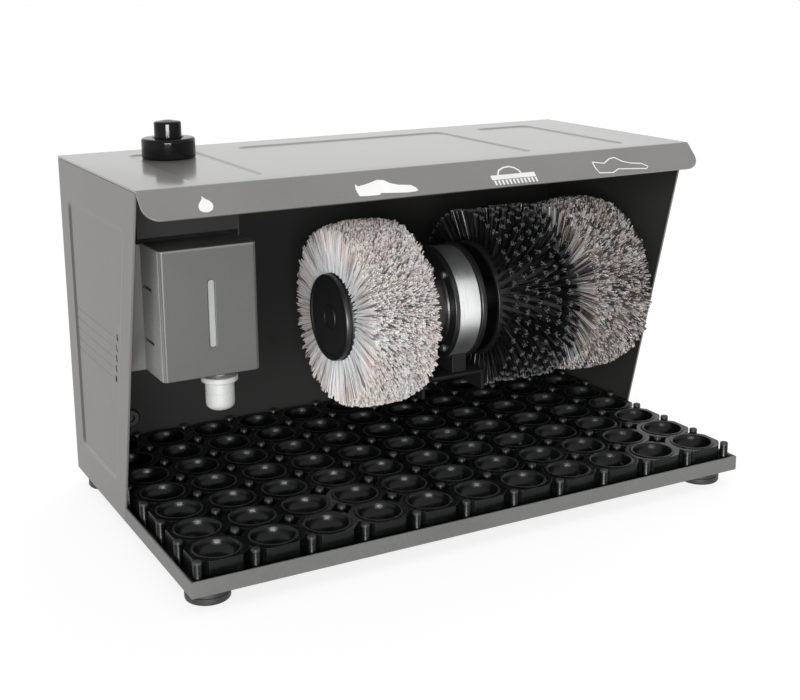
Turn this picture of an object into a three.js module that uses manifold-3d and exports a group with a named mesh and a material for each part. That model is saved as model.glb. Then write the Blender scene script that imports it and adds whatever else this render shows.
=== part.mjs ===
import * as THREE from "three";
import { mergeGeometries, mergeVertices } from "three/addons/utils/BufferGeometryUtils.js";
import Module from "manifold-3d";

// Shoe shine machine: a sheet steel housing over a rubber mat, with a double-ended motor that
// turns two polishing brushes and a cleaning brush, a cream dispenser and a start button.
// Lengths are in millimetres. The machine faces -Y and stands on the plane z = 0.
// Inside the machine group, y = 0 is the rear face and z = 0 the underside of the tray.

// Clearances
const gap = 0.3;
const overrun = 2;
const runningGap = 0.6;

// Housing
const housingHeight = 312;
const topDepth = 240;
const panelFootDepth = 155;
const panelTopInset = 3;
const sheet = 2;
const lipLength = 31;
const lipLean = Math.PI / 4;
const lipCornerRadius = 15;
const embossDepth = 1;
const embossCornerRadius = 10;

// Pressed fields in the top and the side panels
const topFieldRearMargin = 35;
const topFieldFrontMargin = 24;
const topFieldSideMargin = 55;
const topNarrowFieldWidth = 67;
const topFieldSpacing = 42;
const sideFieldRearMargin = 27;
const sideFieldFrontMargin = 27;
const sideFieldFoot = 31;
const sideFieldTopMargin = 37;

// Louvres in the side panels
const louvreCount = 5;
const louvrePitch = 10;
const louvreFoot = 132;
const louvreWidth = 3;
const louvreDepth = 0.4;
const louvreRearMargin = 34;
const louvreFrontMargin = 40;
const ventRadius = 2.4;

// Tray, mat and feet
const trayDepth = 330;
const trayRim = 14;
const matSideGap = 3;
const matThickness = 3;
const matHeight = 25;
const matColumns = 11;
const matRows = 7;
const cupRadius = 18;
const cupFloor = 10;
const pinRadius = 3.8;
const pinStandout = 3;
const pocketReach = 11;
const footRadius = 19;
const footHeight = 14;
const footBevel = 2;
const footSideInset = 23;
const footFrontInset = 27;
const footRearInset = 24;
const footStemRadius = 5;

// Rear cord inlet
const inletSideInset = 53;
const inletRise = 14.7;
const inletRadius = 8;
const inletBore = 4;
const inletFlange = 4;
const inletProud = 3;

// Brush shaft and brushes
const toeClearance = 38.7;
const rearClearance = 47;
const brushSideGap = 24.7;
const leftBay = 94.7;
const shaftRadius = 7;
const brushRadius = 91;
const brushWidth = 70;
const hubRadius = 42;
const backing = 3;
const capRadius = 42;
const capThickness = 6;
const capBevel = 2;
const capDish = 2;
const nutWell = 14;
const nutRadius = 10;
const nutThickness = 6;
const shaftEndInset = 4;
const drumRadius = 58;
const drumWidth = 74;
const drumWall = 4;
const drumWeb = 12;
const drumHubRadius = 16;
const cleaningRadius = 90;
const brushGap = 8;
const drumGap = 5;
const rightBrushGap = 20;
const spacerRadius = 11;
const strandRows = 6;
const strandsPerRow = 17;
const strandSides = 3;
const polishRoot = 3.5;
const polishTip = 8.5;
const cleaningRoot = 4;
const cleaningTip = 6.5;

// Motor
const statorLength = 24;
const statorRadius = 56;
const statorBore = 43.3;
const windingBore = 36.5;
const windingProud = 7;
const rotorRadius = 35;
const shieldFlangeRadius = 58;
const shieldFlange = 5.7;
const shieldRadius = 46.5;
const shieldRound = 9;
const shieldBore = 44;
const shieldWall = 3;
const shieldLeftLength = 29.7;
const shieldRightLength = 14;
const shaftHole = 13;
const bearingRadius = 16;
const bearingWidth = 9;
const bearingBoss = 4;
const tieBoltCircle = 51.5;
const tieBoltRadius = 2;
const tieBoltHead = 3.5;
const tieBoltHeadThickness = 3;
const tieBoltCount = 4;
const motorFootWidth = 16;
const motorFootDepth = 68;
const motorFootHeight = 18;

// Motor bracket on the back panel
const bracketPlate = 3;
const bracketStatorGap = 9;
const bracketFrontReach = 38;
const bracketSideHeight = 17;
const bracketBackDrop = 42;
const bracketClear = 2;
const bracketBoltInset = 14;
const bracketBoltDrop = 13;
const bracketBoltPitch = 20;
const bracketBoltRows = 2;
const bracketBoltRadius = 2.3;
const bracketBoltHead = 4.5;
const bracketBoltHeadThickness = 2.4;

// Control box under the top, on the left
const boxSideGap = 16;
const boxWidth = 93;
const boxRearGap = 20;
const boxDepth = 158;
const boxHeight = 49.7;
const boxSheet = 1.5;
const boxSkirt = 6;
const switchWidth = 28;
const switchDepth = 20;
const switchHeight = 28;
const timerWidth = 36;
const timerDepth = 60;
const timerHeight = 24;
const partInset = 10;
const capacitorRadius = 14;
const capacitorLength = 60;

// Start button
const buttonFieldInset = 27;
const collarRadius = 25;
const collarHeight = 18.5;
const collarBevel = 1.5;
const collarFloor = 5;
const collarNeckRadius = 11;
const collarNeckLength = 13;
const collarBoreRadius = 13.4;
const stemRadius = 4;
const stemGuide = 4.6;
const nutFlatsRadius = 16;
const lockNutThickness = 5;
const buttonCapRadius = 12.7;
const buttonSeat = 5;
const buttonProud = 16.5;
const buttonDome = 2.5;
const buttonTravel = 4;
const stemReach = 2;
const springWire = 0.6;
const buttonSpringRadius = 8;
const buttonSpringTurns = 3;

// Cream dispenser
const coverSideGap = 26;
const coverBoxGap = 8;
const coverStandout = 23;
const coverWidth = 89;
const coverHeight = 115;
const coverDepth = 48.7;
const coverSheet = 1.2;
const coverChamfer = 3;
const levelSlotWidth = 6;
const levelSlotHeight = 60;
const levelSlotFoot = 26;
const levelSlotInset = 46;
const slitWidth = 2.5;
const slitLength = 26;
const slitFoot = 28;
const slitSpacing = 48;
const backplateLip = 3;
const backplateFlange = 55;
const shelfInset = 4;
const shelfRise = 13;
const shelfMargin = 5;
const tankInset = 4;
const tankWidth = 72;
const tankDepth = 38;
const tankHeight = 80;
const tankWall = 2;
const tankCorner = 8;
const tankLidHeight = 5;
const tankNeckRadius = 10;
const tankNeckDrop = 11;
const nozzleInset = 59;
const nozzleSetback = 24;
const nozzleDrop = 20;
const nozzleFlangeRadius = 16.5;
const nozzleFlangeThickness = 5;
const nozzleRadius = 13;
const nozzleLength = 26;
const nozzleRound = 6;
const nozzleBore = 3;
const valveStemRadius = 5.5;
const valveStemLength = 18;
const valveStemGuide = 6.4;
const valveSpringRadius = 8;
const valveSpringTurns = 3;

// Faces around round pieces, and steps on round corners
const roundSides = 16;
const motorSides = 20;
const smallSides = 6;
const footSides = 12;
const cupSides = 8;
const pinSides = 4;
const hexSides = 6;
const cornerSteps = 3;
const arcSteps = 3;
const springSides = 4;
const springSteps = 8;

const half = 1 / 2;
const quarterTurn = Math.PI / 2;
const fullTurn = Math.PI * 2;

const steel = { color: 0x8c8984, roughness: 0.42, metalness: 0.55 };
const darkSteel = { color: 0x3a3b3c, roughness: 0.5, metalness: 0.4 };
const coverPaint = { color: 0x6c6d6d, roughness: 0.45, metalness: 0.4 };
const blackPaint = { color: 0x111213, roughness: 0.5, metalness: 0.2 };
const silver = { color: 0xc4c8ca, roughness: 0.3, metalness: 0.9 };
const zinc = { color: 0xa7a9a8, roughness: 0.35, metalness: 0.85 };
const copper = { color: 0x9a5a32, roughness: 0.45, metalness: 0.8 };
const blackPlastic = { color: 0x151515, roughness: 0.4, metalness: 0 };
const whitePlastic = { color: 0xe8e9e6, roughness: 0.4, metalness: 0 };
const rubber = { color: 0x161616, roughness: 0.7, metalness: 0 };
const lightBristle = { color: 0xcfc6bd, roughness: 0.8, metalness: 0 };
const greyBristle = { color: 0x9f978f, roughness: 0.8, metalness: 0 };
const blackBristle = { color: 0x1b1c1d, roughness: 0.55, metalness: 0 };

const wasm = await Module();
wasm.setup();

const machine = new THREE.Group();

// Solid and mesh helpers

function loose(geometry) {
  return geometry.index ? geometry.toNonIndexed() : geometry.clone();
}

function solidOf(geometry) {
  const bare = loose(geometry);
  bare.deleteAttribute("normal");
  bare.deleteAttribute("uv");
  const merged = mergeVertices(bare);
  return new wasm.Manifold(
    new wasm.Mesh({
      numProp: 3,
      vertProperties: new Float32Array(merged.attributes.position.array),
      triVerts: new Uint32Array(merged.index.array),
    }),
  );
}

function geometryOf(solid) {
  const mesh = solid.getMesh();
  const geometry = new THREE.BufferGeometry();
  geometry.setAttribute("position", new THREE.BufferAttribute(mesh.vertProperties, 3));
  geometry.setIndex(new THREE.BufferAttribute(mesh.triVerts, 1));
  return geometry;
}

// Pieces that don't meet one another, as one solid.
function scattered(geometries) {
  return solidOf(mergeGeometries(geometries.map(loose)));
}

function join(geometries) {
  return geometries.map(solidOf).reduce((sum, next) => sum.add(next));
}

function cut(geometry, tools) {
  return geometryOf(tools.map(solidOf).reduce((rest, tool) => rest.subtract(tool), solidOf(geometry)));
}

function addPiece(name, geometry, look) {
  const mesh = new THREE.Mesh(geometry, new THREE.MeshStandardMaterial(look));
  mesh.name = name;
  machine.add(mesh);
  return mesh;
}

function block(x0, x1, y0, y1, z0, z1) {
  const geometry = new THREE.BoxGeometry(x1 - x0, y1 - y0, z1 - z0);
  geometry.translate((x0 + x1) * half, (y0 + y1) * half, (z0 + z1) * half);
  return geometry;
}

// The frames turn a shape's own x, y and depth into the machine's directions.
const frames = {
  x: new THREE.Matrix4().makeBasis(
    new THREE.Vector3(0, 1, 0),
    new THREE.Vector3(0, 0, 1),
    new THREE.Vector3(1, 0, 0),
  ),
  y: new THREE.Matrix4().makeBasis(
    new THREE.Vector3(-1, 0, 0),
    new THREE.Vector3(0, 0, 1),
    new THREE.Vector3(0, 1, 0),
  ),
  z: new THREE.Matrix4(),
};

// Extrudes a shape along an axis from one place on it to another. Along x the shape lies in
// (y, z), along y in (-x, z), and along z in (x, y).
function plate(shape, axis, from, to) {
  const geometry = new THREE.ExtrudeGeometry(shape, {
    depth: to - from,
    bevelEnabled: false,
    curveSegments: cornerSteps,
  });
  geometry.translate(0, 0, from);
  return geometry.applyMatrix4(frames[axis]);
}

// Revolves a closed profile of [radius, place along the axis] pairs about an axis.
function turned(profile, axis, sides) {
  const points = profile.map(([r, h]) => new THREE.Vector2(r, h));
  if (THREE.ShapeUtils.area(points) < 0) points.reverse();
  const closed = points[0].x === 0 && points[points.length - 1].x === 0;
  if (!closed) points.push(points[0].clone());
  const geometry = new THREE.LatheGeometry(points, sides);
  if (axis === "x") geometry.rotateZ(-quarterTurn);
  if (axis === "z") geometry.rotateX(quarterTurn);
  return geometry;
}

function rod(radius, from, to, axis, sides) {
  return turned([[0, from], [radius, from], [radius, to], [0, to]], axis, sides);
}

function sleeve(bore, radius, from, to, axis, sides) {
  return turned([[bore, from], [radius, from], [radius, to], [bore, to]], axis, sides);
}

function hexNut(bore, radius, from, to, axis) {
  return cut(rod(radius, from, to, axis, hexSides), [
    rod(bore, from - overrun, to + overrun, axis, roundSides),
  ]);
}

// The points of a quarter round from one end to the other, as [radius, place] pairs.
function round(centre, place, radius, start, end) {
  return Array.from({ length: arcSteps + 1 }, (_, i) => {
    const angle = start + ((end - start) * i) / arcSteps;
    return [centre + radius * Math.cos(angle), place + radius * Math.sin(angle)];
  });
}

function ordered(a, b) {
  return a < b ? [a, b] : [b, a];
}

function outline(corners) {
  return new THREE.Shape(corners.map(([a, b]) => new THREE.Vector2(a, b)));
}

// A closed outline whose corners are rounded off, starting and ending part-way along each side.
function softOutline(corners, radius) {
  const shape = new THREE.Shape();
  const points = corners.map(([a, b]) => new THREE.Vector2(a, b));
  points.forEach((corner, i) => {
    const before = points[(i + points.length - 1) % points.length];
    const after = points[(i + 1) % points.length];
    const entry = corner.clone().add(before.clone().sub(corner).setLength(radius));
    const exit = corner.clone().add(after.clone().sub(corner).setLength(radius));
    if (i === 0) shape.moveTo(entry.x, entry.y);
    else shape.lineTo(entry.x, entry.y);
    shape.quadraticCurveTo(corner.x, corner.y, exit.x, exit.y);
  });
  shape.closePath();
  return shape;
}

function rectangle(a0, a1, b0, b1) {
  return [[a0, b0], [a1, b0], [a1, b1], [a0, b1]];
}

// A helical spring about z, standing between two heights.
function spring(radius, wire, turns, from, to) {
  const steps = turns * springSteps;
  const points = Array.from({ length: steps + 1 }, (_, i) => {
    const angle = (i / springSteps) * fullTurn;
    const height = from + wire + ((to - from - wire - wire) * i) / steps;
    return new THREE.Vector3(radius * Math.cos(angle), radius * Math.sin(angle), height);
  });
  const section = outline(
    Array.from({ length: springSides }, (_, i) => {
      const angle = (i / springSides) * fullTurn;
      return [wire * Math.cos(angle), wire * Math.sin(angle)];
    }),
  );
  return new THREE.ExtrudeGeometry(section, {
    steps,
    bevelEnabled: false,
    extrudePath: new THREE.CatmullRomCurve3(points),
  });
}

// Places worked out from the sizes

const dispenserBay = coverSideGap + coverWidth + leftBay;
const motorLength = shieldLeftLength + gap + statorLength + gap + shieldRightLength;
const leftBrushLength = gap + capThickness + brushWidth + brushGap;
const rightBrushLength = drumGap + drumWidth + rightBrushGap + brushWidth + brushSideGap;
const innerWidth = dispenserBay + leftBrushLength + motorLength + rightBrushLength;
const innerX = innerWidth * half;
const sideX = innerX + sheet;
const roofZ = housingHeight - sheet;
const panelTop = roofZ - gap;

function frontEdgeY(z) {
  const lean = (topDepth - panelTopInset - panelFootDepth) / panelTop;
  return -(panelFootDepth + lean * z);
}

const matTop = sheet + gap + matHeight;
const axisZ = matTop + toeClearance + brushRadius;
const axisY = -sheet - rearClearance - brushRadius;

const rightHubEnd = innerX - brushSideGap;
const rightHubStart = rightHubEnd - brushWidth;
const drumEnd = rightHubStart - rightBrushGap;
const drumStart = drumEnd - drumWidth;
const shieldRightEnd = drumStart - drumGap;
const statorEnd = shieldRightEnd - shieldRightLength - gap;
const statorStart = statorEnd - statorLength;
const shieldLeftStart = statorStart - gap - shieldLeftLength;
const leftHubEnd = shieldLeftStart - brushGap;
const leftHubStart = leftHubEnd - brushWidth;

const narrowFieldX = sideX - topFieldSideMargin;
const wideFieldX = narrowFieldX - topNarrowFieldWidth - topFieldSpacing;
const buttonX = -narrowFieldX + topNarrowFieldWidth * half;
const buttonY = -topFieldRearMargin - buttonFieldInset;

const boxLeft = -innerX + boxSideGap;
const boxRight = boxLeft + boxWidth;
const boxRear = -boxRearGap;
const boxFront = boxRear - boxDepth;
const boxTop = roofZ - gap;
const boxFloor = boxTop - boxHeight;
const boxSeat = boxFloor + boxSheet + gap;

const coverLeft = -innerX + coverSideGap;
const coverRight = coverLeft + coverWidth;
const coverTop = boxFloor - coverBoxGap;
const coverFoot = coverTop - coverHeight;
const coverFront = boxFront - coverStandout;
const coverRear = coverFront + coverDepth;
const backplateFront = coverRear + gap;
const backplateRear = backplateFront + sheet;
const shelfZ = coverFoot + shelfRise;
const tankFoot = shelfZ + sheet + gap;
const tankNeckFoot = tankFoot - tankNeckDrop;
const nozzleX = coverLeft + nozzleInset;
const nozzleY = coverFront + nozzleSetback;
const nozzleFlangeZ = shelfZ - nozzleDrop;

const bracketShelfZ = axisZ - statorRadius - bracketStatorGap;
const bracketFront = axisY - bracketFrontReach;
const bracketFrom = shieldLeftStart - bracketClear;
const bracketTo = shieldRightEnd;

const inletX = -innerX + inletSideInset;
const inletZ = matTop + inletRise;

const collarFoot = housingHeight - embossDepth + gap;
const collarTop = collarFoot + collarHeight;
const collarNeckEnd = collarFoot - collarNeckLength;
const collarSeat = collarFoot + collarFloor;
const buttonFoot = collarTop - buttonSeat;

const footPlaces = [
  [-sideX + footSideInset, -trayDepth + footFrontInset],
  [sideX - footSideInset, -trayDepth + footFrontInset],
  [-sideX + footSideInset, -footRearInset],
  [sideX - footSideInset, -footRearInset],
];

// Housing

function addTray() {
  const wideRear = frontEdgeY(sheet) - gap;
  const rimOutline = outline([
    [-trayDepth, 0],
    [frontEdgeY(0) - gap, 0],
    [frontEdgeY(trayRim) - gap, trayRim],
    [-trayDepth, trayRim],
  ]);
  const pieces = [
    block(-sideX, sideX, -trayDepth, wideRear, 0, sheet),
    block(-innerX + gap, innerX - gap, wideRear - overrun, 0, 0, sheet),
    block(-sideX, sideX, -trayDepth, -trayDepth + sheet, 0, trayRim),
    plate(rimOutline, "x", -sideX, -innerX),
    plate(rimOutline, "x", innerX, sideX),
  ];
  let tray = join(pieces);
  for (const [x, y] of footPlaces) {
    const hole = rod(footStemRadius + gap, -overrun, sheet + overrun, "z", footSides);
    tray = tray.subtract(solidOf(hole.translate(x, y, 0)));
  }
  addPiece("base_tray", geometryOf(tray), steel);
}

function addFeet() {
  const names = ["foot_front_left", "foot_front_right", "foot_rear_left", "foot_rear_right"];
  const profile = [
    [0, -footHeight],
    [footRadius - footBevel, -footHeight],
    [footRadius, footBevel - footHeight],
    [footRadius, -gap],
    [footStemRadius, -gap],
    [footStemRadius, sheet],
    [0, sheet],
  ];
  names.forEach((name, i) => {
    const [x, y] = footPlaces[i];
    addPiece(name, turned(profile, "z", footSides), rubber).position.set(x, y, 0);
  });
}

// The mat has a round cup in each square of its grid, and a pin that stands in a four-sided pocket
// at each square's front left corner.
function addMat() {
  const right = innerX - matSideGap;
  const left = -right;
  const front = -trayDepth + sheet + matSideGap;
  const rear = -sheet - matSideGap;
  const base = sheet + gap;
  const floor = base + matThickness;
  const top = matTop - pinStandout;
  const gridX = left + pinRadius;
  const gridY = front + pinRadius;
  const pitchX = (right - gridX) / matColumns;
  const pitchY = (rear - gridY) / matRows;
  const cups = [];
  const pockets = [];
  const pins = [];
  for (let column = 0; column < matColumns; column++) {
    for (let row = 0; row < matRows; row++) {
      const x = gridX + pitchX * column;
      const y = gridY + pitchY * row;
      const cup = rod(cupRadius, base + cupFloor, top + overrun, "z", cupSides);
      cups.push(cup.translate(x + pitchX * half, y + pitchY * half, 0));
      pockets.push(rod(pocketReach, floor, top + overrun, "z", pinSides).translate(x, y, 0));
      pins.push(rod(pinRadius, floor - gap, matTop, "z", pinSides).translate(x, y, 0));
    }
  }
  const mat = join([
    block(left, right, front, rear, base, floor),
    block(gridX, right, gridY, rear, floor - gap, top),
  ])
    .subtract(scattered(cups))
    .subtract(scattered(pockets))
    .add(scattered(pins));
  addPiece("floor_mat", geometryOf(mat), rubber);
}

// One side panel with its pressed field, louvres and vents; side is -1 on the left, 1 on the right.
function addSidePanel(name, side) {
  const panel = outline([
    [0, 0],
    [0, panelTop],
    [frontEdgeY(panelTop), panelTop],
    [frontEdgeY(0), 0],
  ]);
  const fieldTop = housingHeight - sideFieldTopMargin;
  const field = softOutline(
    [
      [-sideFieldRearMargin, sideFieldFoot],
      [-sideFieldRearMargin, fieldTop],
      [frontEdgeY(fieldTop) + sideFieldFrontMargin, fieldTop],
      [frontEdgeY(sideFieldFoot) + sideFieldFrontMargin, sideFieldFoot],
    ],
    embossCornerRadius,
  );
  const tools = [plate(field, "x", ...ordered(side * (sideX - embossDepth), side * (sideX + overrun)))];
  for (let i = 0; i < louvreCount; i++) {
    const z = louvreFoot + louvrePitch * i;
    const front = frontEdgeY(z) + louvreFrontMargin;
    const depth = embossDepth + louvreDepth;
    const groove = rectangle(front, -louvreRearMargin, z - louvreWidth * half, z + louvreWidth * half);
    tools.push(plate(outline(groove), "x", ...ordered(side * (sideX - depth), side * sideX)));
    const through = ordered(side * (innerX - overrun), side * (sideX + overrun));
    const vent = rod(ventRadius, ...through, "x", smallSides);
    tools.push(vent.translate(0, front, z));
  }
  const blank = plate(panel, "x", ...ordered(side * innerX, side * sideX));
  addPiece(name, cut(blank, tools), steel);
}

function addBackPanel() {
  const panel = block(-innerX + gap, innerX - gap, -sheet, 0, sheet + gap, panelTop);
  const holes = bracketBoltPlaces().map(([x, z]) =>
    rod(bracketBoltRadius + gap, -sheet - overrun, overrun, "y", smallSides).translate(x, 0, z),
  );
  const inlet = rod(inletRadius + gap, -sheet - overrun, overrun, "y", roundSides);
  holes.push(inlet.translate(inletX, 0, inletZ));
  addPiece("back_panel", cut(panel, holes), steel);
}

// The top, with three pressed fields and a lip that leans forward from its front edge.
function addTopCover() {
  const front = -topDepth;
  const top = block(-sideX, sideX, front, 0, roofZ, housingHeight);
  const lipShape = new THREE.Shape();
  lipShape.moveTo(-sideX, 0);
  lipShape.lineTo(-sideX, lipLength - lipCornerRadius);
  lipShape.quadraticCurveTo(-sideX, lipLength, -sideX + lipCornerRadius, lipLength);
  lipShape.lineTo(sideX - lipCornerRadius, lipLength);
  lipShape.quadraticCurveTo(sideX, lipLength, sideX, lipLength - lipCornerRadius);
  lipShape.lineTo(sideX, 0);
  const lip = plate(lipShape, "z", 0, sheet);
  lip.rotateX(Math.PI + lipLean);
  lip.translate(0, front, housingHeight);
  const fieldBottom = housingHeight - embossDepth;
  const fields = [
    [-narrowFieldX, -narrowFieldX + topNarrowFieldWidth],
    [-wideFieldX, wideFieldX],
    [narrowFieldX - topNarrowFieldWidth, narrowFieldX],
  ];
  const tools = fields.map(([x0, x1]) => {
    const field = rectangle(x0, x1, front + topFieldFrontMargin, -topFieldRearMargin);
    return plate(softOutline(field, embossCornerRadius), "z", fieldBottom, housingHeight + overrun);
  });
  const hole = rod(collarNeckRadius + gap, roofZ - overrun, housingHeight + overrun, "z", roundSides);
  tools.push(hole.translate(buttonX, buttonY, 0));
  addPiece("top_cover", cut(geometryOf(join([top, lip])), tools), steel);
}

function addCordInlet() {
  const profile = [
    [inletBore, inletProud],
    [inletRadius + inletFlange, inletProud],
    [inletRadius + inletFlange, gap],
    [inletRadius, gap],
    [inletRadius, -sheet - gap],
    [inletRadius + inletFlange * half, -sheet - gap],
    [inletRadius, -sheet - inletProud],
    [inletBore, -sheet - inletProud],
  ];
  addPiece("cord_inlet", turned(profile, "y", roundSides), rubber).position.set(inletX, 0, inletZ);
}

// Motor

function tieBolts() {
  return Array.from({ length: tieBoltCount }, (_, i) => {
    const angle = ((i + half) / tieBoltCount) * fullTurn;
    return [tieBoltCircle * Math.cos(angle), tieBoltCircle * Math.sin(angle)];
  });
}

function tieBoltHoles(from, to) {
  return tieBolts().map(([y, z]) =>
    rod(tieBoltRadius + gap, from, to, "x", smallSides).translate(0, y, z),
  );
}

function onAxis(mesh) {
  mesh.position.set(0, axisY, axisZ);
}

function addStator() {
  const core = sleeve(statorBore, statorRadius, statorStart, statorEnd, "x", motorSides);
  const holes = tieBoltHoles(statorStart - overrun, statorEnd + overrun);
  onAxis(addPiece("stator_core", cut(core, holes), silver));
  const from = statorStart - windingProud;
  const to = statorEnd + windingProud - sheet;
  const winding = sleeve(windingBore, statorBore - gap, from, to, "x", motorSides);
  onAxis(addPiece("stator_winding", winding, copper));
}

// An end shield: flange on the stator, round body, end wall and the boss that holds the bearing.
// inward is 1 where the body reaches towards -X from the stator, and -1 where towards +X.
function addShield(name, face, length, inward) {
  const at = (depth) => face - inward * depth;
  const wallInner = length - shieldWall;
  const bossEnd = wallInner - bearingWidth - gap;
  const profile = [
    [shaftHole, at(length)],
    [shieldRadius - shieldRound, at(length)],
    [shieldRadius, at(length - shieldRound * half)],
    [shieldRadius, at(shieldFlange)],
    [shieldFlangeRadius, at(shieldFlange)],
    [shieldFlangeRadius, at(0)],
    [shieldBore, at(0)],
    [shieldBore, at(wallInner)],
    [bearingRadius + gap + bearingBoss, at(wallInner)],
    [bearingRadius + gap + bearingBoss, at(bossEnd)],
    [bearingRadius + gap, at(bossEnd)],
    [bearingRadius + gap, at(wallInner)],
    [shaftHole, at(wallInner)],
  ];
  const holes = tieBoltHoles(...ordered(at(-overrun), at(shieldFlange + overrun)));
  const shield = cut(turned(profile, "x", motorSides), holes);
  onAxis(addPiece(name, shield, blackPaint));
  return ordered(at(wallInner - gap), at(wallInner - gap - bearingWidth));
}

function addBearing(name, [from, to]) {
  const bore = shaftRadius + runningGap;
  onAxis(addPiece(name, sleeve(bore, bearingRadius, from, to, "x", roundSides), zinc));
}

function addTieBolts() {
  const seat = statorStart - gap - shieldFlange - gap;
  const tip = statorEnd + gap + shieldFlange;
  const profile = [
    [0, seat - tieBoltHeadThickness],
    [tieBoltHead, seat - tieBoltHeadThickness],
    [tieBoltHead, seat],
    [tieBoltRadius, seat],
    [tieBoltRadius, tip],
    [0, tip],
  ];
  tieBolts().forEach(([y, z], i) => {
    const bolt = addPiece(`tie_bolt_${i + 1}`, turned(profile, "x", smallSides), zinc);
    bolt.position.set(0, axisY + y, axisZ + z);
  });
}

function addMotorFoot() {
  const middle = (statorStart + statorEnd) * half;
  const from = middle - motorFootWidth * half;
  const to = middle + motorFootWidth * half;
  const base = bracketShelfZ + gap;
  const reach = motorFootDepth * half;
  const foot = block(from, to, axisY - reach, axisY + reach, base, base + motorFootHeight);
  const saddle = rod(statorRadius + gap, from - overrun, to + overrun, "x", motorSides);
  addPiece("motor_foot", cut(foot, [saddle.translate(0, axisY, axisZ)]), blackPaint);
}

function bracketBoltPlaces() {
  return Array.from({ length: bracketBoltRows }, (_, row) => {
    const z = bracketShelfZ - bracketBoltDrop - bracketBoltPitch * row;
    return [bracketFrom + bracketBoltInset, bracketTo - bracketBoltInset].map((x) => [x, z]);
  }).flat();
}

function addMotorBracket() {
  const rear = -sheet - gap;
  const shelfFoot = bracketShelfZ - bracketPlate;
  const sideFoot = shelfFoot - bracketSideHeight;
  const backFoot = bracketShelfZ - bracketBackDrop;
  const wing = outline([
    [rear, shelfFoot + gap],
    [rear, backFoot],
    [rear - bracketBackDrop, sideFoot],
    [bracketFront, sideFoot],
    [bracketFront, shelfFoot + gap],
  ]);
  const pieces = [
    block(bracketFrom, bracketTo, bracketFront, rear, shelfFoot, bracketShelfZ),
    block(bracketFrom, bracketTo, rear - bracketPlate, rear, backFoot, shelfFoot + gap),
    plate(wing, "x", bracketFrom, bracketFrom + bracketPlate),
    plate(wing, "x", bracketTo - bracketPlate, bracketTo),
  ];
  let bracket = join(pieces);
  for (const [x, z] of bracketBoltPlaces()) {
    const hole = rod(bracketBoltRadius + gap, rear - bracketPlate - overrun, overrun, "y", smallSides);
    bracket = bracket.subtract(solidOf(hole.translate(x, 0, z)));
  }
  addPiece("motor_bracket", geometryOf(bracket), darkSteel);
}

function addBracketBolts() {
  const head = gap + bracketBoltHeadThickness;
  const profile = [
    [0, head],
    [bracketBoltHead * half, head],
    [bracketBoltHead, gap + bracketBoltHeadThickness * half],
    [bracketBoltHead, gap],
    [bracketBoltRadius, gap],
    [bracketBoltRadius, -sheet - gap - bracketPlate],
    [0, -sheet - gap - bracketPlate],
  ];
  bracketBoltPlaces().forEach(([x, z], i) => {
    const bolt = addPiece(`bracket_bolt_${i + 1}`, turned(profile, "y", smallSides), zinc);
    bolt.position.set(x, 0, z);
  });
}

// Rotor, shaft and brushes

function addRotor() {
  const bore = shaftRadius + gap;
  onAxis(addPiece("rotor_core", sleeve(bore, rotorRadius, statorStart, statorEnd, "x", motorSides), zinc));
  const from = leftHubStart + shaftEndInset;
  const to = rightHubEnd - shaftEndInset;
  onAxis(addPiece("motor_shaft", rod(shaftRadius, from, to, "x", roundSides), silver));
}

function addSpacer(name, from, to) {
  const spacer = sleeve(shaftRadius + gap, spacerRadius, from + gap, to - gap, "x", roundSides);
  onAxis(addPiece(name, spacer, zinc));
}

// A polishing brush hub: a core with a well for the shaft nut in its outer face.
function addHub(side, inner, outer) {
  const outward = Math.sign(outer - inner);
  const bore = shaftRadius + gap;
  const profile = [
    [bore, inner],
    [hubRadius, inner],
    [hubRadius, outer],
    [nutRadius + runningGap, outer],
    [nutRadius + runningGap, outer - outward * nutWell],
    [bore, outer - outward * nutWell],
  ];
  onAxis(addPiece(`brush_hub_${side}`, turned(profile, "x", motorSides), blackPlastic));
  const seat = outer - outward * (nutWell - gap);
  const faces = ordered(seat, seat + outward * nutThickness);
  onAxis(addPiece(`hub_nut_${side}`, hexNut(bore, nutRadius, ...faces, "x"), zinc));
  const at = (depth) => outer + outward * (gap + depth);
  const cap = [
    [0, at(0)],
    [capRadius, at(0)],
    [capRadius, at(capThickness - capBevel)],
    [capRadius - capBevel, at(capThickness)],
    [nutRadius + capDish, at(capThickness)],
    [nutRadius, at(capThickness - capDish)],
    [0, at(capThickness - capDish)],
  ];
  onAxis(addPiece(`hub_cap_${side}`, turned(cap, "x", motorSides), blackPlastic));
}

// One strand: a three-sided bundle that widens from its root to its tip.
function strand(root, tip, inner, outer, angle, x) {
  const ends = [[inner, root], [outer, tip]];
  const corners = ends.flatMap(([height, size]) =>
    Array.from({ length: strandSides }, (_, i) => {
      const turn = (i / strandSides) * fullTurn;
      const along = size * Math.cos(turn);
      const across = size * Math.sin(turn);
      const y = height * Math.cos(angle) - across * Math.sin(angle);
      const z = height * Math.sin(angle) + across * Math.cos(angle);
      return [x + along, y, z];
    }),
  );
  const faces = [0, 1, 2, strandSides, strandSides + 2, strandSides + 1];
  for (let i = 0; i < strandSides; i++) {
    const next = (i + 1) % strandSides;
    faces.push(i, next + strandSides, next, i, i + strandSides, next + strandSides);
  }
  const geometry = new THREE.BufferGeometry();
  geometry.setAttribute("position", new THREE.Float32BufferAttribute(corners.flat(), 3));
  geometry.setIndex(faces);
  return geometry;
}

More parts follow.
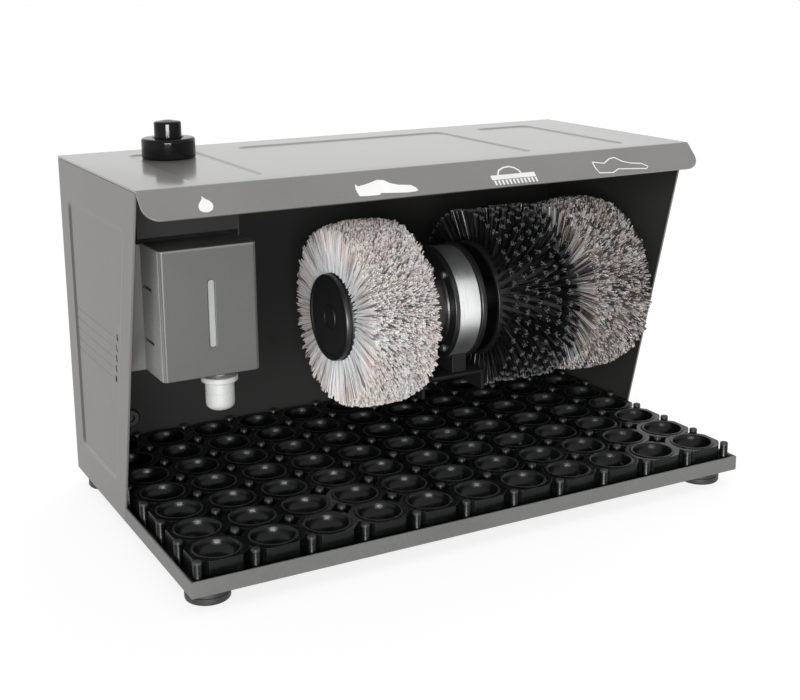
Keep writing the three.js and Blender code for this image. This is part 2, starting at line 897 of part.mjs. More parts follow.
// A ring of strands fused to their backing, the strands of every second row set half a step on.
function addBristles(name, core, radius, from, to, root, tip, look) {
  const ring = sleeve(core + gap, core + backing, from, to, "x", strandsPerRow + strandsPerRow);
  const rowPitch = (to - from) / strandRows;
  const strands = [];
  for (let row = 0; row < strandRows; row++) {
    const x = from + rowPitch * (row + half);
    for (let i = 0; i < strandsPerRow; i++) {
      const angle = ((i + (row % 2) * half) / strandsPerRow) * fullTurn;
      strands.push(strand(root, tip, core + backing * half, radius, angle, x));
    }
  }
  const bristles = solidOf(ring).add(scattered(strands));
  onAxis(addPiece(name, geometryOf(bristles), look));
}

// The cleaning brush drum: a wall on a web that the shaft carries.
function addDrum() {
  const middle = (drumStart + drumEnd) * half;
  const bore = shaftRadius + gap;
  const inner = drumRadius - drumWall;
  const profile = [
    [bore, drumStart],
    [drumHubRadius, drumStart],
    [drumHubRadius, middle - drumWeb * half],
    [inner, middle - drumWeb * half],
    [inner, drumStart],
    [drumRadius, drumStart],
    [drumRadius, drumEnd],
    [inner, drumEnd],
    [inner, middle + drumWeb * half],
    [drumHubRadius, middle + drumWeb * half],
    [drumHubRadius, drumEnd],
    [bore, drumEnd],
  ];
  onAxis(addPiece("cleaning_drum", turned(profile, "x", motorSides), blackPlastic));
}

// Control box and start button

function addControlBox() {
  const inset = boxSheet;
  const shell = block(boxLeft, boxRight, boxFront, boxRear, boxFloor, boxTop);
  const room = block(
    boxLeft + inset,
    boxRight - inset,
    boxFront + inset,
    boxRear - inset,
    boxFloor + inset,
    boxTop + overrun,
  );
  const skirt = block(boxRight - inset, boxRight, boxFront, boxRear, boxFloor - boxSkirt, boxFloor + gap);
  const box = solidOf(shell).subtract(solidOf(room)).add(solidOf(skirt));
  addPiece("control_box", geometryOf(box), darkSteel);
}

function addControls() {
  const reachX = switchWidth * half;
  const reachY = switchDepth * half;
  const top = boxSeat + switchHeight;
  const body = block(buttonX - reachX, buttonX + reachX, buttonY - reachY, buttonY + reachY, boxSeat, top);
  const well = rod(stemGuide, top - stemReach - buttonTravel - overrun, top + overrun, "z", roundSides);
  addPiece("switch_block", cut(body, [well.translate(buttonX, buttonY, 0)]), blackPlastic);
  const left = boxLeft + partInset;
  const front = boxFront + partInset;
  const timer = block(left, left + timerWidth, front, front + timerDepth, boxSeat, boxSeat + timerHeight);
  addPiece("timer_module", timer, blackPlastic);
  const rear = boxRear - partInset;
  const can = rod(capacitorRadius, rear - capacitorLength, rear, "y", roundSides);
  addPiece("run_capacitor", can.translate(left + capacitorRadius, 0, boxSeat + capacitorRadius), zinc);
}

function addButton() {
  const collar = [
    [stemGuide, collarNeckEnd],
    [collarNeckRadius, collarNeckEnd],
    [collarNeckRadius, collarFoot],
    [collarRadius, collarFoot],
    [collarRadius, collarTop - collarBevel],
    [collarRadius - collarBevel, collarTop],
    [collarBoreRadius, collarTop],
    [collarBoreRadius, collarSeat],
    [stemGuide, collarSeat],
  ];
  const place = [buttonX, buttonY, 0];
  addPiece("button_collar", turned(collar, "z", roundSides), blackPlastic).position.set(...place);
  const nutTop = roofZ - gap;
  const nut = hexNut(collarNeckRadius + gap, nutFlatsRadius, nutTop - lockNutThickness, nutTop, "z");
  addPiece("button_locknut", nut, zinc).position.set(...place);
  const stemFoot = boxSeat + switchHeight - stemReach;
  const capTop = collarTop + buttonProud;
  const cap = [
    [0, stemFoot],
    [stemRadius, stemFoot],
    [stemRadius, buttonFoot],
    [buttonCapRadius, buttonFoot],
    [buttonCapRadius, capTop - buttonDome],
    [buttonCapRadius - buttonDome, capTop - buttonDome * half],
    [0, capTop],
  ];
  addPiece("button_cap", turned(cap, "z", roundSides), blackPlastic).position.set(...place);
  const coil = spring(buttonSpringRadius, springWire, buttonSpringTurns, collarSeat + gap, buttonFoot - gap);
  addPiece("button_spring", coil, zinc).position.set(...place);
}

// Cream dispenser

function addDispenserBracket() {
  const left = -innerX + gap;
  const plateTop = coverTop - coverSheet - gap;
  const shelfLeft = coverLeft + shelfInset;
  const shelfRight = coverRight - shelfInset;
  const shelfFront = coverFront + shelfMargin;
  const lipFront = backplateFront - backplateLip;
  const pieces = [
    block(left, coverRight, backplateFront, backplateRear, coverFoot, plateTop),
    block(left, left + sheet, backplateFront, backplateRear + backplateFlange, coverFoot, plateTop),
    block(left, left + sheet, lipFront, backplateFront + gap, coverFoot, plateTop),
    block(shelfLeft, shelfRight, shelfFront, backplateFront + gap, shelfZ, shelfZ + sheet),
  ];
  const hole = rod(tankNeckRadius + gap, shelfZ - overrun, shelfZ + sheet + overrun, "z", roundSides);
  const bracket = join(pieces).subtract(solidOf(hole.translate(nozzleX, nozzleY, 0)));
  addPiece("dispenser_bracket", geometryOf(bracket), darkSteel);
}

function addTank() {
  const middle = (coverLeft + coverRight) * half;
  const x0 = middle - tankWidth * half;
  const x1 = middle + tankWidth * half;
  const y1 = backplateFront - tankInset;
  const y0 = y1 - tankDepth;
  const top = tankFoot + tankHeight;
  const outer = softOutline(rectangle(x0, x1, y0, y1), tankCorner);
  const inner = softOutline(
    rectangle(x0 + tankWall, x1 - tankWall, y0 + tankWall, y1 - tankWall),
    tankCorner - tankWall,
  );
  const neck = rod(tankNeckRadius, tankNeckFoot, tankFoot + gap, "z", roundSides);
  const bore = rod(valveStemGuide, tankNeckFoot - overrun, tankFoot + tankWall + gap, "z", roundSides);
  const tank = join([plate(outer, "z", tankFoot, top), neck.translate(nozzleX, nozzleY, 0)])
    .subtract(solidOf(plate(inner, "z", tankFoot + tankWall, top + overrun)))
    .subtract(solidOf(bore.translate(nozzleX, nozzleY, 0)));
  addPiece("cream_tank", geometryOf(tank), whitePlastic);
  const lidPlug = softOutline(
    rectangle(x0 + tankWall + gap, x1 - tankWall - gap, y0 + tankWall + gap, y1 - tankWall - gap),
    tankCorner - tankWall,
  );
  const lid = join([
    plate(outer, "z", top + gap, top + gap + tankWall),
    plate(lidPlug, "z", top + gap - tankLidHeight, top + gap + gap),
  ]);
  addPiece("tank_lid", geometryOf(lid), blackPlastic);
}

function addNozzle() {
  const tip = nozzleFlangeZ - nozzleFlangeThickness - nozzleLength;
  const flangeFoot = nozzleFlangeZ - nozzleFlangeThickness;
  const stemTop = nozzleFlangeZ + valveStemLength;
  const foot = round(nozzleRadius - nozzleRound, tip + nozzleRound, nozzleRound, -quarterTurn, 0);
  const profile = [
    [nozzleBore, tip],
    ...foot,
    [nozzleRadius, flangeFoot],
    [nozzleFlangeRadius, flangeFoot],
    [nozzleFlangeRadius, nozzleFlangeZ],
    [valveStemRadius, nozzleFlangeZ],
    [valveStemRadius, stemTop],
    [nozzleBore, stemTop],
  ];
  const place = [nozzleX, nozzleY, 0];
  addPiece("valve_nozzle", turned(profile, "z", roundSides), whitePlastic).position.set(...place);
  const coilFoot = nozzleFlangeZ + gap;
  const coil = spring(valveSpringRadius, springWire, valveSpringTurns, coilFoot, tankNeckFoot - gap);
  addPiece("valve_spring", coil, zinc).position.set(...place);
}

function addDispenserCover() {
  const footprint = (inset) => {
    const corner = coverChamfer - inset * half;
    return outline([
      [coverLeft + inset, coverRear + (inset ? overrun : 0)],
      [coverLeft + inset, coverFront + inset + corner],
      [coverLeft + inset + corner, coverFront + inset],
      [coverRight - inset - corner, coverFront + inset],
      [coverRight - inset, coverFront + inset + corner],
      [coverRight - inset, coverRear + (inset ? overrun : 0)],
    ]);
  };
  const shell = plate(footprint(0), "z", coverFoot, coverTop);
  const room = plate(footprint(coverSheet), "z", coverFoot - overrun, coverTop - coverSheet);
  const slotX = -coverLeft - levelSlotInset;
  const slotReach = levelSlotWidth * half;
  const slotFoot = coverFoot + levelSlotFoot;
  const slot = softOutline(
    rectangle(slotX - slotReach, slotX + slotReach, slotFoot, slotFoot + levelSlotHeight),
    slotReach - gap,
  );
  const slits = [0, slitSpacing].map((rise) => {
    const z = coverFoot + slitFoot + rise;
    return block(
      coverLeft - overrun,
      coverLeft + coverSheet + overrun,
      coverRear - slitLength,
      coverRear + overrun,
      z,
      z + slitWidth,
    );
  });
  const tools = [room, plate(slot, "y", coverFront - overrun, coverFront + coverSheet + overrun), ...slits];
  addPiece("dispenser_cover", cut(shell, tools), coverPaint);
}

addTray();
addFeet();
addMat();
addSidePanel("side_panel_left", -1);
addSidePanel("side_panel_right", 1);
addBackPanel();
addTopCover();
addCordInlet();

addStator();
addBearing("bearing_left", addShield("end_shield_left", statorStart - gap, shieldLeftLength, 1));
addBearing("bearing_right", addShield("end_shield_right", statorEnd + gap, shieldRightLength, -1));
addTieBolts();
addMotorFoot();
addMotorBracket();
addBracketBolts();

addRotor();
addHub("left", leftHubEnd, leftHubStart);
addHub("right", rightHubStart, rightHubEnd);
addDrum();
addSpacer("spacer_left", leftHubEnd, shieldLeftStart + shieldWall);
addSpacer("spacer_middle", shieldRightEnd - shieldWall, drumStart);
addSpacer("spacer_right", drumEnd, rightHubStart);
const polish = [polishRoot, polishTip];
addBristles("bristles_left", hubRadius, brushRadius, leftHubStart, leftHubEnd, ...polish, lightBristle);
addBristles("bristles_right", hubRadius, brushRadius, rightHubStart, rightHubEnd, ...polish, greyBristle);
const cleaning = [cleaningRoot, cleaningTip];
addBristles("bristles_black", drumRadius, cleaningRadius, drumStart, drumEnd, ...cleaning, blackBristle);

addControlBox();
addControls();
addButton();

addDispenserBracket();
addTank();
addNozzle();
addDispenserCover();

machine.position.set(0, (trayDepth - inletProud) * half, footHeight);

const shoeShineMachine = new THREE.Group();
shoeShineMachine.add(machine);

export default shoeShineMachine;
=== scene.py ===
import math
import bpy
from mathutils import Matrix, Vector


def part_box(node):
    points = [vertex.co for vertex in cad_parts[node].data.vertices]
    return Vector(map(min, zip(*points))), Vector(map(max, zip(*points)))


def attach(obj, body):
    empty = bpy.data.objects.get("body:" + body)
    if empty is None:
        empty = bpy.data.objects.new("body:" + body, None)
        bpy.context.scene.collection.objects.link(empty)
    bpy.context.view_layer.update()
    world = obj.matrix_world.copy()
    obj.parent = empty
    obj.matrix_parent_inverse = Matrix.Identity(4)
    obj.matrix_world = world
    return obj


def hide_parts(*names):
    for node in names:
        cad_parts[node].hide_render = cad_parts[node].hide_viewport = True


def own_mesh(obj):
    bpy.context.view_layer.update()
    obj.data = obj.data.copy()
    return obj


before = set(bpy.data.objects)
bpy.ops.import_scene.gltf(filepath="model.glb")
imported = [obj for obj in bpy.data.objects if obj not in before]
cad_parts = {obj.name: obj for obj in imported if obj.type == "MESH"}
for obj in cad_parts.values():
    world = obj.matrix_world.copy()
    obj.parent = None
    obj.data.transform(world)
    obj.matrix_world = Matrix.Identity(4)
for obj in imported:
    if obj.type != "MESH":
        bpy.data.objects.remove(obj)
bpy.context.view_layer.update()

from types import SimpleNamespace

import bmesh
import bpy
import numpy as np
from mathutils import Matrix, Quaternion, Vector

# Looks of the shoe shine machine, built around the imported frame. Sizes are in millimetres, as on
# the drawing, and MM turns them into metres.

MM = 0.001
X, Y, Z = Vector((1, 0, 0)), Vector((0, 1, 0)), Vector((0, 0, 1))
FULL_TURN = math.tau
GOLDEN_TURN = math.radians(137.5)
ROUND_STEPS = 64
FOLD_ANGLE = math.radians(30)
PRESSED_FOLD = math.radians(10)
RNG = np.random.default_rng(41)

# The housing's planes, its sheets, and the pressed field of a side
SIDE_X, REAR_Y, TRAY_Z, ROOF_Z = 280.0, 163.5, 14.0, 326.0
PANEL_TOP = 323.7
FRONT_FOOT_Y, FRONT_TOP_Y = 8.5, -73.5
TOP_FRONT_Y = -76.5
LIP_LENGTH, LIP_LEAN, BEND_RADIUS, SHEET = 31.0, math.radians(45), 3.2, 2.0
PRESS_DEPTH, PRESS_SLOPE, PRESS_ROUND = 1.2, 3.4, 10.0
GROOVE_DEPTH, GROOVE_SLOPE, GROOVE_ROUND = 0.5, 0.7, 1.2
FIELD_FOOT, FIELD_HEAD, FIELD_REAR, FIELD_SLOPE = TRAY_Z + 31, TRAY_Z + 275, REAR_Y - 27, 5.0
CUP_RIM = 39.1
SLANT = math.sqrt(0.5)


def box_of(node):
    """A node's lowest and highest corners."""
    return [Vector(corner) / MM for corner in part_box(node)]


def ends_of(node):
    """A node's two ends along the shaft."""
    return [corner[0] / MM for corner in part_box(node)]


def centre_of(node):
    """The middle of a node, in metres."""
    low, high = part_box(node)
    return (Vector(low) + Vector(high)) / 2


LEFT_HUB, RIGHT_HUB = ends_of("brush_hub_left"), ends_of("brush_hub_right")
DRUM = ends_of("cleaning_drum")


# Shader tools

class Number:
    """A number socket, so that shader maths reads as an ordinary expression."""

    def __init__(self, finish, socket):
        self.finish, self.socket = finish, socket

    def __add__(self, other):
        return self.finish.maths("ADD", self, other)

    def __sub__(self, other):
        return self.finish.maths("SUBTRACT", self, other)

    def __mul__(self, other):
        return self.finish.maths("MULTIPLY", self, other)

    def __lt__(self, other):
        return self.finish.maths("LESS_THAN", self, other)

    def __rsub__(self, other):
        return self.finish.maths("SUBTRACT", other, self)

    def __abs__(self):
        return self.finish.maths("ABSOLUTE", self, 0)

    __radd__ = __add__
    __rmul__ = __mul__


class Finish:
    """The nodes of one material, or of the world, with the place on the piece."""

    def __init__(self, name, world=None):
        self.owner = world or bpy.data.materials.new(name)
        self.owner.use_nodes = True
        self.tree = self.owner.node_tree
        self.tree.nodes.clear()
        self.place = self.node("TexCoord", {}, {}).outputs["Object"]
        axes = self.node("SeparateXYZ", {}, {0: self.place})
        self.x, self.y, self.z = (Number(self, socket) for socket in axes.outputs)

    def node(self, kind, settings, values):
        """Adds a node. Its settings come first, then its sockets' values or links."""
        node = self.tree.nodes.new("ShaderNode" + kind)
        for name, value in settings.items():
            if name == "stops":
                ramp = node.color_ramp
                while len(ramp.elements) < len(value):
                    ramp.elements.new(1)
                for stop, (place, colour) in zip(ramp.elements, value):
                    stop.position, stop.color = place, (*colour, 1)
            else:
                setattr(node, name, value)
        for key, value in values.items():
            if isinstance(value, Number):
                value = value.socket
            if isinstance(value, bpy.types.NodeSocket):
                self.tree.links.new(value, node.inputs[key])
            else:
                node.inputs[key].default_value = value
        return node

    def maths(self, operation, a, b):
        return Number(self, self.node("Math", {"operation": operation}, {0: a, 1: b}).outputs[0])

    def stretched(self, scale):
        return self.node("Mapping", {}, {0: self.place, "Scale": scale}).outputs[0]

    def noise(self, scale, detail=3.0, roughness=0.55, place=None):
        values = {0: place or self.place, "Scale": scale, "Detail": detail, "Roughness": roughness}
        return Number(self, self.node("TexNoise", {}, values).outputs[0])

    def ease(self, value, low, high, start=0.0, end=1.0):
        settings = {"interpolation_type": "SMOOTHSTEP"}
        values = {0: value, 1: low, 2: high, 3: start, 4: end}
        return Number(self, self.node("MapRange", settings, values).outputs[0])

    def band(self, place, rise, fall):
        """1 between two soft edges, each given by where it starts and ends."""
        inside = self.ease(place, rise[0] * MM, rise[1] * MM)
        return inside * (1 - self.ease(place, fall[0] * MM, fall[1] * MM))

    def ramp(self, value, stops):
        return self.node("ValToRGB", {"stops": stops}, {0: value}).outputs[0]

    def blend(self, factor, a, b):
        a, b = ((*c, 1) if isinstance(c, tuple) else c for c in (a, b))
        return self.node("Mix", {"data_type": "RGBA"}, {0: factor, 6: a, 7: b}).outputs[2]

    def tinted(self, colour, amount, spread):
        """The colour, darker and lighter by a share of itself as amount runs from 0 to 1."""
        dark = tuple(c * (1 - spread) for c in colour)
        light = tuple(c * (1 + spread) for c in colour)
        return self.blend(self.ease(amount, 0.3, 0.7), dark, light)

    def attribute(self, name):
        return Number(self, self.node("Attribute", {"attribute_name": name}, {}).outputs["Fac"])

    def bumped(self, height, strength, depth):
        values = {"Height": height, "Strength": strength, "Distance": depth * MM}
        return self.node("Bump", {}, values).outputs[0]

    def done(self, colour, roughness, normal=None, **constants):
        """The finished material. The constants are values of the shader's own sockets."""
        colour = (*colour, 1) if isinstance(colour, tuple) else colour
        values = {"Base Color": colour, "Roughness": roughness}
        if normal:
            values["Normal"] = normal
        values.update({key.replace("_", " "): value for key, value in constants.items()})
        surface = self.node("BsdfPrincipled", {}, values).outputs[0]
        self.node("OutputMaterial", {}, {0: surface})
        return self.owner


# Finishes

# The first colour is painted shade for the side's rear fold; the rubber's dust and wear are real.
FOLD_SHADE, RUBBER_DUST, WORN_RUBBER = (0.035, 0.033, 0.030), (0.09, 0.088, 0.085), (0.040, 0.040, 0.039)
# Painted shade between the packed filaments, below their tips.
SHADE_BETWEEN_FILAMENTS = (0.08, 0.065, 0.065)


def lighter(colour, times):
    return tuple(min(1, c * times) for c in colour)


def powder_coat(name, colour, roughness, inside=None, inner=(0.034, 0.034, 0.032), grain=1.0,
                wear_and_highlight=None, painted_shade=None, **constants):
    """Sprayed powder coat: a fine stipple, faint cloudiness and a few lighter spots of wear. The
    masks say where the inner colour, painted highlights and painted shade go."""
    f = Finish(name)
    stipple = f.noise(1300, 2.0)
    cloud = f.noise(7)
    rub = f.ease(f.noise(38, 5.0, 0.7), 0.62, 0.74)
    shade = f.tinted(colour, stipple * 0.55 + cloud * 0.45, 0.11 * grain)
    shade = f.blend(rub * 0.16, shade, lighter(colour, 1.25))
    if wear_and_highlight:
        # Painted highlight where that mask says: the paint made lighter.
        shade = f.blend(wear_and_highlight(f), shade, lighter(colour, 2.1))
    if painted_shade:
        # Painted shade where that mask says.
        shade = f.blend(painted_shade(f), shade, FOLD_SHADE)
    # The inner colour: painted shade inside the housing, painted light on the dispenser cover's
    # side.
    if inside:
        shade = f.blend(inside(f), shade, f.tinted(inner, stipple, 0.2))
    gloss = roughness + cloud * 0.08 - rub * 0.05
    return f.done(shade, gloss, f.bumped(stipple, 0.22, 0.12 * grain), **constants)


def bare_metal(name, colour, roughness, along, groove=2600):
    """Turned or drawn metal, with fine lines that run round the axis given."""
    f = Finish(name)
    scale = tuple(1.0 if a == along else 0.03 for a in "xyz")
    lines = f.noise(groove, 2.0, 0.6, f.stretched(scale))
    smudge = f.noise(45, 4.0, 0.6)
    shade = f.tinted(colour, lines * 0.6 + smudge * 0.4, 0.12)
    gloss = roughness + smudge * 0.12 + lines * 0.06
    return f.done(shade, gloss, f.bumped(lines, 0.12, 0.05), Metallic=1.0)


def moulded(name, colour, roughness, grain, **constants):
    """Moulded plastic: an even shade, a faint grain and soft flow marks."""
    f = Finish(name)
    fine = f.noise(2200, 2.0)
    flow = f.noise(24)
    shade = f.tinted(colour, fine * 0.3 + flow * 0.7, 0.1)
    gloss = roughness + flow * 0.1
    return f.done(shade, gloss, f.bumped(fine, grain, 0.05), **constants)


def black_rubber(name, colour, roughness, dust, tops=None, **constants):
    """Moulded rubber with a soft sheen and dusty patches, and worn where the mask tops says."""
    f = Finish(name)
    fine = f.noise(1500)
    worn = f.noise(60, 4.0, 0.65)
    shade = f.tinted(colour, fine * 0.4 + worn * 0.6, 0.3)
    grey = f.ease(worn, 0.55, 0.8) * dust
    shade = f.blend(grey, shade, RUBBER_DUST)
    if tops:
        wear_and_highlight = tops(f) * f.ease(worn, 0.3, 0.6, 0.5)
        shade = f.blend(wear_and_highlight, shade, WORN_RUBBER)
        grey = grey + wear_and_highlight * 1.2
    gloss = roughness + worn * 0.14 + grey * 0.2
    return f.done(shade, gloss, f.bumped(fine * 0.5 + worn, 0.25, 0.25), **constants)


def bristle(name, stops, shadow, roughness, patch_tones=None, ends=None, reach=0.4, packed=None,
            **constants):
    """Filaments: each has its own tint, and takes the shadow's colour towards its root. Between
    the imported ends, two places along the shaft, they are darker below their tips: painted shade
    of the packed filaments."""
    f = Finish(name)
    tint = f.attribute("tint")
    along = f.attribute("along")
    shade = f.ramp(tint, stops)
    if patch_tones:
        patches = f.ease(f.noise(26, 2.0), 0.38, 0.7) * f.ease(along, 0.5, 0.95)
        tone = f.blend(f.ease(f.noise(17, 1.0), 0.44, 0.58), *patch_tones)
        shade = f.blend(patches * 0.42, shade, tone)
    shade = f.blend(f.ease(along, 0.0, reach), shadow, shade)
    if packed:
        middle, half = (packed[0] + packed[1]) / 2 * MM, (packed[1] - packed[0]) / 2 * MM
        inner = 1 - f.ease(abs(f.x - middle), half * 0.72, half * 0.95)
        below = (1 - f.ease(along, 0.955, 0.985)) * inner
        shade = f.blend(below * 0.22, shade, SHADE_BETWEEN_FILAMENTS)
    # Painted highlight: the tips made lighter, where the lamps catch them.
    if ends:
        shade = f.blend(f.ease(along, 0.94, 0.995), shade, ends)
    fibre = f.noise(1800, 2.0)
    return f.done(shade, roughness + fibre * 0.1, f.bumped(fibre, 0.3, 0.1), **constants)


def varnished_wire(name, gap, copper):
    """Wound wire: copper turns across the shaft, with painted shade in the gaps between them."""
    f = Finish(name)
    turns = abs(f.noise(420, 1.0, 0.5, f.stretched((1, 0.05, 0.05))) - 0.5)
    shade = f.blend(f.ease(turns, 0.0, 0.2), gap, copper)
    return f.done(shade, 0.32 + turns * 0.5, f.bumped(turns, 0.8, 0.4), Metallic=0.7)


# Where a finish changes on a piece, and where light and shade are painted. The inner colour is
# painted shade; it starts a little inside the sheet, so that it covers the inner face and leaves the
# edges.

# Painted shade on the inner faces of the sides: the same paint, darkened.
def shade_inside_sides(f):
    return abs(f.x) < (SIDE_X - SHEET + 0.15) * MM


# Painted shade on the rear panel's inner face.
def shade_inside_rear(f):
    return f.y < (REAR_Y - SHEET / 2) * MM


def shade_under_top(f):
    """The undersides of the top and of its lip, for painted shade."""
    off_lip = (f.z - ROOF_Z * MM - (f.y - TOP_FRONT_Y * MM)) * SLANT
    return (f.z < (ROOF_Z - 1.6) * MM) * (off_lip < -1.2 * MM)


def lit_cover_side(f):
    """The left side of the dispenser's cover, painted pale: painted light on a side that the housing
    shades.
    """
    return f.x < -251.4 * MM


def lower_fold_highlight(f):
    """The lower slope of the side's pressed field, which faces up, painted lighter: a painted
    highlight.
    """
    soft, start, share = 0.6, 26, 0.35
    end = FIELD_FOOT + FIELD_SLOPE
    slope = f.band(f.z, (FIELD_FOOT, FIELD_FOOT + soft), (end - soft, end))
    behind_front = f.ease(f.y, start * MM, (start + 10) * MM)
    return slope * behind_front * (f.y < (FIELD_REAR - 2) * MM) * share


def rear_fold_shade(f):
    """The rear slope of the side's pressed field, painted dark: painted shade."""
    soft, share = 11, 0.9
    start, end = FIELD_REAR - FIELD_SLOPE, FIELD_REAR
    slope = f.band(f.y, (start - 1.9, start - 0.1), (end - 0.5, end + 0.7))
    height = f.band(f.z, (FIELD_FOOT, FIELD_FOOT + soft), (FIELD_HEAD - soft, FIELD_HEAD))
    return slope * height * share


def cover_edge_highlights(f):
    """The folds round the dispenser cover's front, painted lighter: a painted highlight along the
    edges.
    """
    low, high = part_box("dispenser_cover")
    front, roof = f.y - low[1], high[2] - f.z
    side = f.maths("MINIMUM", f.x - low[0], high[0] - f.x)
    nearer, further = f.maths("MINIMUM", front, roof), f.maths("MAXIMUM", front, roof)
    from_edge = f.maths("MAXIMUM", nearer, f.maths("MINIMUM", further, side))
    return 1 - f.ease(from_edge, 0.8 * MM, 2.6 * MM)


def trodden_tops(f):
    """The rims and pin tops that shoes touch."""
    return f.ease(f.z, (CUP_RIM - 0.5) * MM, CUP_RIM * MM)


HOUSING_GREY, COVER_GREY = (0.172, 0.168, 0.162), (0.108, 0.109, 0.106)
ZINC, SATIN_BLACK = (0.52, 0.52, 0.52), (0.010, 0.010, 0.011)
DULL = {"Specular_IOR_Level": 0.13}

# The side's paint: painted shade inside, a painted highlight on the lower fold and painted shade on
# the rear fold.
SIDE_PAINT = powder_coat("side_paint", HOUSING_GREY, 0.40, shade_inside_sides, wear_and_highlight=lower_fold_highlight,
                         painted_shade=rear_fold_shade)
# Its inner colour is painted shade inside the housing.
REAR_PAINT = powder_coat("rear_paint", HOUSING_GREY, 0.40, shade_inside_rear, (0.028, 0.028, 0.027),
                         Specular_IOR_Level=0.25)
TOP_PAINT = powder_coat("top_paint", HOUSING_GREY, 0.34, shade_under_top, Coat_Weight=0.8,
                        Coat_Roughness=0.12)
# The housing's grey made darker: painted shade for the tray's front.
SHADED_TRAY_PAINT = powder_coat("tray_paint_shaded", (0.150, 0.150, 0.147), 0.46, grain=1.5)
# Its inner colour is painted light on the cover's left side, and its folds get a painted highlight.
COVER_PAINT = powder_coat("cover_grey", COVER_GREY, 0.40, lit_cover_side, (0.36, 0.36, 0.35),
                          wear_and_highlight=cover_edge_highlights)
BRACKET_PAINT = powder_coat("bracket_grey", (0.26, 0.26, 0.254), 0.42)
BOX_PAINT = powder_coat("box_grey", (0.034, 0.035, 0.034), 0.45, **DULL)
SHELF_PAINT = powder_coat("shelf_black", (0.013, 0.013, 0.013), 0.50, **DULL)
BLACK_ENAMEL = powder_coat("black_enamel", SATIN_BLACK, 0.30, grain=0.6)

SILVER_BAND = bare_metal("silver_band", (0.80, 0.81, 0.81), 0.30, "x")
ZINC_X = bare_metal("zinc_turned", ZINC, 0.30, "x")
ZINC_Y = bare_metal("zinc_bolts", ZINC, 0.30, "y")
ZINC_Z = bare_metal("zinc_upright", ZINC, 0.30, "z")
# A darker copy of the zinc: painted shade on the motor's tie bolts.
SHADED_ZINC = bare_metal("zinc_shaded", (0.16, 0.16, 0.16), 0.50, "x")
WIRE = varnished_wire("winding_wire", (0.10, 0.035, 0.012), (0.55, 0.22, 0.09))

BLACK_PLASTIC = moulded("black_satin", SATIN_BLACK, 0.34, 0.14)
GLOSS_PLASTIC = moulded("black_gloss", (0.004, 0.004, 0.004), 0.07, 0.04, Specular_IOR_Level=0.15)
WHITE_PLASTIC = moulded("white_satin", (0.63, 0.64, 0.625), 0.38, 0.10)
STRIP_PLASTIC = moulded("sight_strip", (0.46, 0.48, 0.47), 0.30, 0.06)
PRINT_WHITE = moulded("white_print", (0.86, 0.86, 0.84), 0.45, 0.05)
MAT_RUBBER = black_rubber("mat_rubber", (0.004, 0.0045, 0.0045), 0.20, 0.12, trodden_tops,
                          Specular_IOR_Level=0.22)
FOOT_RUBBER = black_rubber("foot_rubber", (0.014, 0.014, 0.014), 0.45, 0.5)

# The near-black stops at the start stand for the dark gaps between filaments: painted shade.
LIGHT_TINTS = [
    (0.00, (0.02, 0.018, 0.018)), (0.10, (0.06, 0.05, 0.05)), (0.14, (0.70, 0.56, 0.50)),
    (0.23, (0.95, 0.87, 0.81)), (0.38, (0.97, 0.95, 0.93)), (0.68, (0.98, 0.98, 0.98)),
    (0.86, (0.92, 0.94, 0.97)), (0.93, (0.95, 0.78, 0.80)), (1.00, (0.97, 0.92, 0.83)),
]
# The near-black share up to 0.34 stands for the dark gaps between filaments: painted shade.
MIXED_TINTS = [
    (0.00, (0.008, 0.008, 0.009)), (0.34, (0.018, 0.020, 0.021)), (0.38, (0.24, 0.17, 0.13)),
    (0.46, (0.54, 0.45, 0.37)), (0.56, (0.28, 0.38, 0.39)), (0.67, (0.88, 0.87, 0.83)),
    (0.79, (0.44, 0.44, 0.50)), (0.89, (0.62, 0.44, 0.42)), (1.00, (0.97, 0.94, 0.86)),
]
BLACK_TINTS = [
    (0.0, (0.006, 0.006, 0.007)), (0.8, (0.014, 0.014, 0.015)), (1.0, (0.06, 0.06, 0.062)),
]
PINK, CREAM, TAN = (0.95, 0.72, 0.74), (0.97, 0.87, 0.72), (0.42, 0.33, 0.28)
LIGHT_BRISTLE = bristle("light_bristles", LIGHT_TINTS, (0.80, 0.815, 0.825), 0.62, (PINK, CREAM),
                        reach=0.8, packed=LEFT_HUB, Sheen_Weight=0.7)
MIXED_BRISTLE = bristle("mixed_bristles", MIXED_TINTS, (0.07, 0.08, 0.085), 0.62, (TAN, TAN),
                        Sheen_Weight=0.1)
# Its lighter ends are a painted highlight on the tufts' tips.
BLACK_BRISTLE = bristle("black_nylon", BLACK_TINTS, (0.004, 0.004, 0.004), 0.24,
                        ends=(0.17, 0.173, 0.175), Specular_IOR_Level=0.25)


# Modelling tools

def linked(name, data):
    """A new object in the scene, for a mesh, a lamp or a camera."""
    thing = bpy.data.objects.new(name, data)
    bpy.context.scene.collection.objects.link(thing)
    return thing


def mesh_of(name, bm):
    """The mesh of a finished bmesh, which is freed."""
    mesh = bpy.data.meshes.new(name)
    bm.to_mesh(mesh)
    bm.free()
    return mesh


def made(name, bm, finish, body, replaced=(), bevel=0.0, segments=3, fold=FOLD_ANGLE):
    """Turns a finished bmesh into a piece that rides on its body, its folds softened."""
    mesh = mesh_of(name, bm)
    mesh.polygons.foreach_set("use_smooth", [True] * len(mesh.polygons))
    mesh.set_sharp_from_angle(angle=fold)
    mesh.materials.append(finish)
    piece = linked(name, mesh)
    if bevel:
        edge = piece.modifiers.new("soft_edges", "BEVEL")
        edge.width = bevel * MM
        edge.segments = segments
        edge.limit_method = "ANGLE"
        edge.angle_limit = fold
        edge.use_clamp_overlap = False
        edge.harden_normals = True
    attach(piece, body)
    if replaced:
        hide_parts(*replaced)
    return piece


